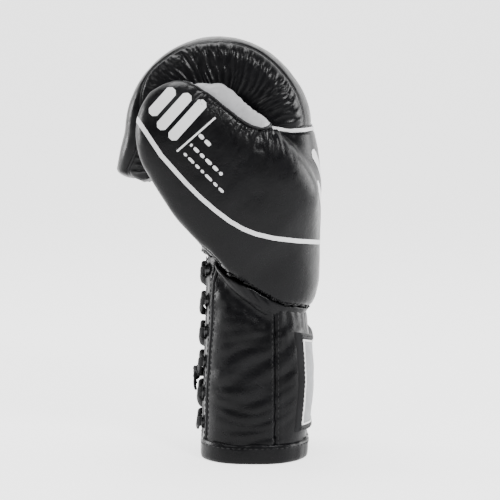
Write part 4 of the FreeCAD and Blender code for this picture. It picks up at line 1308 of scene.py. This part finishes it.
def strand_points(side, over, with_bar):
    """The lace's route, from the bottom row up through the eyelets to its tucked end."""
    inside, outside, edge = LACE_INSIDE, LACE_OUT, LACE_OFF_FLAP
    points = []
    if with_bar:
        points += [face_point(0, inside + 1.1 * LACE_HALF, -side * EYELET_Y),
                   face_point(0, outside, -side * EYELET_Y),
                   face_point(0, outside, -side * edge, LACE_DIP / 5),
                   face_point(0, outside + 1, 0, LACE_DIP),
                   face_point(0, outside, side * edge, LACE_DIP / 5), face_point(0, outside, side * EYELET_Y)]
    for row in range(LACE_ROWS - 1):
        points += [face_point(row, inside, side * EYELET_Y),
                   face_point(row + 0.5 - LACE_AT_FLAP / EYELET_Y / 2, inside, side * LACE_AT_FLAP),
                   face_point(row + 0.5, over, 0)]
        side = -side
        points += [face_point(row + 0.5 + edge / EYELET_Y / 2, outside, side * edge),
                   face_point(row + 1, outside, side * EYELET_Y)]
    points += [face_point(LACE_ROWS - 1, inside, side * EYELET_Y),
               face_point(LACE_ROWS - 1, inside, side * (EYELET_Y - LACE_TUCKED))]
    return points


def flowing(points, per_corner=9):
    """A smooth line of quadratic arcs that a route's points pull round."""
    points = np.asarray(points)
    middles = (points[:-1] + points[1:]) / 2
    line = [points[:1]]
    knots = [points[0], *middles[1:-1], points[-1]]
    for start, corner, end in zip(knots, points[1:-1], knots[1:]):
        t = np.linspace(0, 1, per_corner + 1)[1:, None]
        line.append((1 - t) ** 2 * start + 2 * t * (1 - t) * corner + t * t * end)
    return np.concatenate(line)


def make_lace():
    """Both strands of the flat lace, each cut in two at the middle, one part on each flap's side."""
    for name, side, over, bar in (("first", -1, 4.8, True), ("second", 1, -3.0, False)):
        line = flowing(strand_points(side, over, bar))
        outside = smooth(*LACE_SPREAD, line[:, 0])
        wide, thick = 2.3 + 1.5 * outside, 1.45 + 0.25 * outside
        points, faces = tube(line, (0.0, 0.0, 1.0), wide, thick, 12)
        tris = np.array([[f[0], f[k], f[k + 1]] for f in faces for k in range(1, len(f) - 1)])
        points, tris, (little,) = split(points, tris, lambda p: p[:, 1])
        for flap, keep, sign in (("thumb_flap", ~little, -1), ("little_flap", little, 1)):
            p, f = part_of(points, tris, keep)
            replaced = (f"lace_{name}_strand",) if sign < 0 else ()
            piece(f"lace_{name}_{flap[:-5]}", None, p, f, "lace_cord", replaced,
                  blend=(("cuff", flap), dict(start=(-0.04, 0, 0.09), end=(-0.04, sign * 0.015, 0.09))))
    t = np.linspace(0, 2 * np.pi, 121)
    middle = face_point(KNOT_ROW, KNOT_OUT, 0)
    knot = middle + np.stack([-1.5 * np.sin(3 * t), 1.75 * (np.sin(t) + 2 * np.sin(2 * t)),
                              1.55 * (np.cos(t) - 2 * np.cos(2 * t))], axis=1)
    loops = [tube(knot, (-1.0, 0, 0.15), 1.5, 2.1, round_ends=False)]
    for sign, long in ((-1, KNOT_TAIL), (1, KNOT_TAIL * 0.7)):
        u = np.linspace(0, 1, 12)
        away, apart, down = -0.4 - 1.2 * np.sin(np.pi * u), sign * (1.5 + 2.5 * u), -2 - long * u
        tail = middle + np.stack([away, apart, down], axis=1)
        loops.append(tube(tail, (-1.0, 0, 0.0), 1.2, 2.2 - 0.2 * u))
    piece("lace_knot_tied", "cuff", *merged(*loops), "lace_cord", ("lace_knot",))


def make_tongue():
    """The padded tongue under the lacing, quilted by two stitched lines."""
    half, low, high, inset, thick = 27.0, 14.0, 150.0, 15.5, 5.4
    rows, columns = 60, 96
    z = np.linspace(low, high, rows)[:, None]
    t = np.linspace(0, 2 * np.pi, columns, endpoint=False)[None]
    ends = np.minimum(z - low, high - z)
    rim = np.sqrt(np.clip(1 - (1 - np.clip(ends / 6.0, 0, 1)) ** 2, 0.02, 1))
    u = np.sign(np.cos(t)) * np.abs(np.cos(t)) ** 0.75
    w = np.sign(np.sin(t)) * np.abs(np.sin(t)) ** 0.6
    y = (half - 4 * (1 - rim)) * u
    face = cuff_point(0.0, z)[..., 0] + inset + 0.0032 * y**2
    quilt = 0.8 * near(np.abs(y) - 9.0, 1.6) + 0.5 * near(np.abs(y) - half + 3.5, 1.2)
    crown = thick / 2 * rim * w - np.sign(w) * quilt * np.abs(w)
    x = face + thick / 2 - crown + 0.3 * noise(np.stack(np.broadcast_arrays(y, z), -1).reshape(-1, 2), 12.0,
                                              91).reshape(y.shape)
    points = np.stack(np.broadcast_arrays(x, y, z), axis=-1).reshape(-1, 3)
    faces = grid_faces(rows, columns, closed_columns=True).tolist()
    faces += [list(range(columns)), [(rows - 1) * columns + k for k in range(columns)][::-1]]
    faces = away_from(points[:columns].mean(axis=0), points, faces)
    piece("tongue_pad", "tongue", points, faces, "black_leather",
          ("tongue_leather", "tongue_padding", "tongue_lining"), fill=LIMP)


def make_grip_bar():
    """The leather-wrapped bar that the fingers close on."""
    low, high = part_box("grip_bar")
    middle, radius = (low + high) / 2 / MM, (high.z - low.z) / 2 / MM
    y = np.linspace(low.y / MM, high.y / MM, 90)
    path = np.stack([np.full(90, middle.x), y, middle.z + 0.4 * np.sin(y / 9)], axis=1)
    wrap = radius - 0.3 + 0.35 * noise(y, 7.0, 95) - 0.6 * near(np.mod(y, 18.0) - 9.0, 0.8)
    piece("grip_bar_wrap", "hand", *tube(path, (0, 0, 1.0), wrap, wrap, 28), "black_leather", ("grip_bar",))


def make_patch():
    """The patch on the back of the cuff: a soft sewn border, with a pale raised line round a plain field."""
    low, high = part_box("wrist_patch_backing")
    bottom, top, nominal = low.z / MM, high.z / MM, high.y / MM
    count = 110
    tall = top - bottom

    def rise(y, z):
        """Heights, raised towards the sides of the patch."""
        return z + (z - bottom) / tall * PATCH_LIFT * (y / nominal) ** 2

    def half_width(z):
        """Half the patch's width at a height."""
        return through(CUFF_AT, CUFF_WIDE, z) - CUFF_CORNER + PATCH_REACH

    def border(p):
        """How far a point of the patch is inside the border's inner edge."""
        share = (p[:, 2] - bottom) / (tall + PATCH_LIFT * (p[:, 1] / nominal) ** 2)
        return np.minimum(half_width(p[:, 2]) - np.abs(p[:, 1]) - PATCH_SIDE,
                          np.minimum(share, 1 - share) * tall - PATCH_END)

    u, v = np.meshgrid(np.linspace(-1, 1, count), np.linspace(-1, 1, count), indexing="ij")
    z = (bottom + top) / 2 + tall / 2 * np.sign(v) * (1 - (1 - np.abs(v)) ** 1.35)
    half = half_width(z)
    y = half * np.sign(u) * (1 - (1 - np.abs(u)) ** 1.35)
    edge = np.minimum(half - np.abs(y), tall / 2 - np.abs(z - (bottom + top) / 2))
    roll = np.sqrt(np.clip(1 - (1 - np.clip(edge / 1.6, 0, 1)) ** 2, 0, 1))
    z = rise(y, z)
    mid, deep, wide = cuff_section(z)
    over = np.clip(np.abs(y) - wide + CUFF_CORNER, 0, None)
    inside = border(np.stack([y, y, z], axis=-1).reshape(-1, 3)).reshape(z.shape)
    out = -0.8 + roll * 3.6 + 0.4 * near(inside + 1.2, 1.2) - 0.9 * smooth(-1.0, 0.0, inside)
    out = out + 0.7 * smooth(0.0, 0.4, inside) * smooth(PATCH_LINE + 0.3, PATCH_LINE - 0.1, inside)
    out = out + 0.16 * noise(np.stack([y, z], -1).reshape(-1, 2), 9.0, 97).reshape(out.shape)
    x = mid + deep - CUFF_CORNER + np.sqrt(np.maximum((CUFF_CORNER + out) ** 2 - over**2, 1))
    points = np.stack([x, y, z], axis=-1).reshape(-1, 3)
    faces = turned(points, grid_faces(count, count), (1, 0, 0))
    points, tris, (framed,) = split(points, triangles(faces), border)
    points, tris, (framed, field) = split(points, tris, lambda p: border(p) - PATCH_LINE, framed)
    for name, slot, keep, replaced in (
            ("wrist_patch_leather", "patch_border", ~framed, "wrist_patch_backing"),
            ("wrist_patch_pale_line", "patch_line", framed & ~field, "wrist_patch_frame"),
            ("wrist_patch_plain_field", "patch_field", field, "wrist_patch_field")):
        piece(name, "cuff", *part_of(points, tris, keep), slot, (replaced,), TRIM_THICK)
    skin = Skin(points, tris)
    ends = bottom + PATCH_SEAM_END, top - PATCH_SEAM_END
    corners = [(-1, ends[0]), (1, ends[0]), (1, ends[1]), (-1, ends[1]), (-1, ends[0])]
    seam = [(60.0, side * (half_width(z) - PATCH_SEAM_SIDE), z) for side, z in corners]
    route = evenly(np.array(seam), 1.0)
    route[:, 2] = rise(route[:, 1], route[:, 2])
    on, _ = skin.hit(route, np.broadcast_to([-1.0, 0, 0], route.shape))
    piece("wrist_patch_stitches", "cuff", *stitch_row(skin, on, 2.6, 1.1, 0.36), "lace_cord")


def dress_frame():
    """Finishes for the CAD pieces whose own shape is shown."""
    shown = {"lining_fabric": [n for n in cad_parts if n.endswith("_lining") and "tongue" not in n],
             "eyelet_metal": ["thumb_flap_eyelets", "little_flap_eyelets"]}
    for slot, names in shown.items():
        for name in names:
            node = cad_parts[name]
            if not node.material_slots:
                node.data.materials.append(FINISHES[slot])
            for holder in node.material_slots:
                holder.material = FINISHES[slot]


def main():
    make_stage()
    make_mitt()
    make_fingers()
    make_cuff()
    make_wrist_fold()
    make_lace()
    make_tongue()
    make_grip_bar()
    make_patch()
    dress_frame()


main()
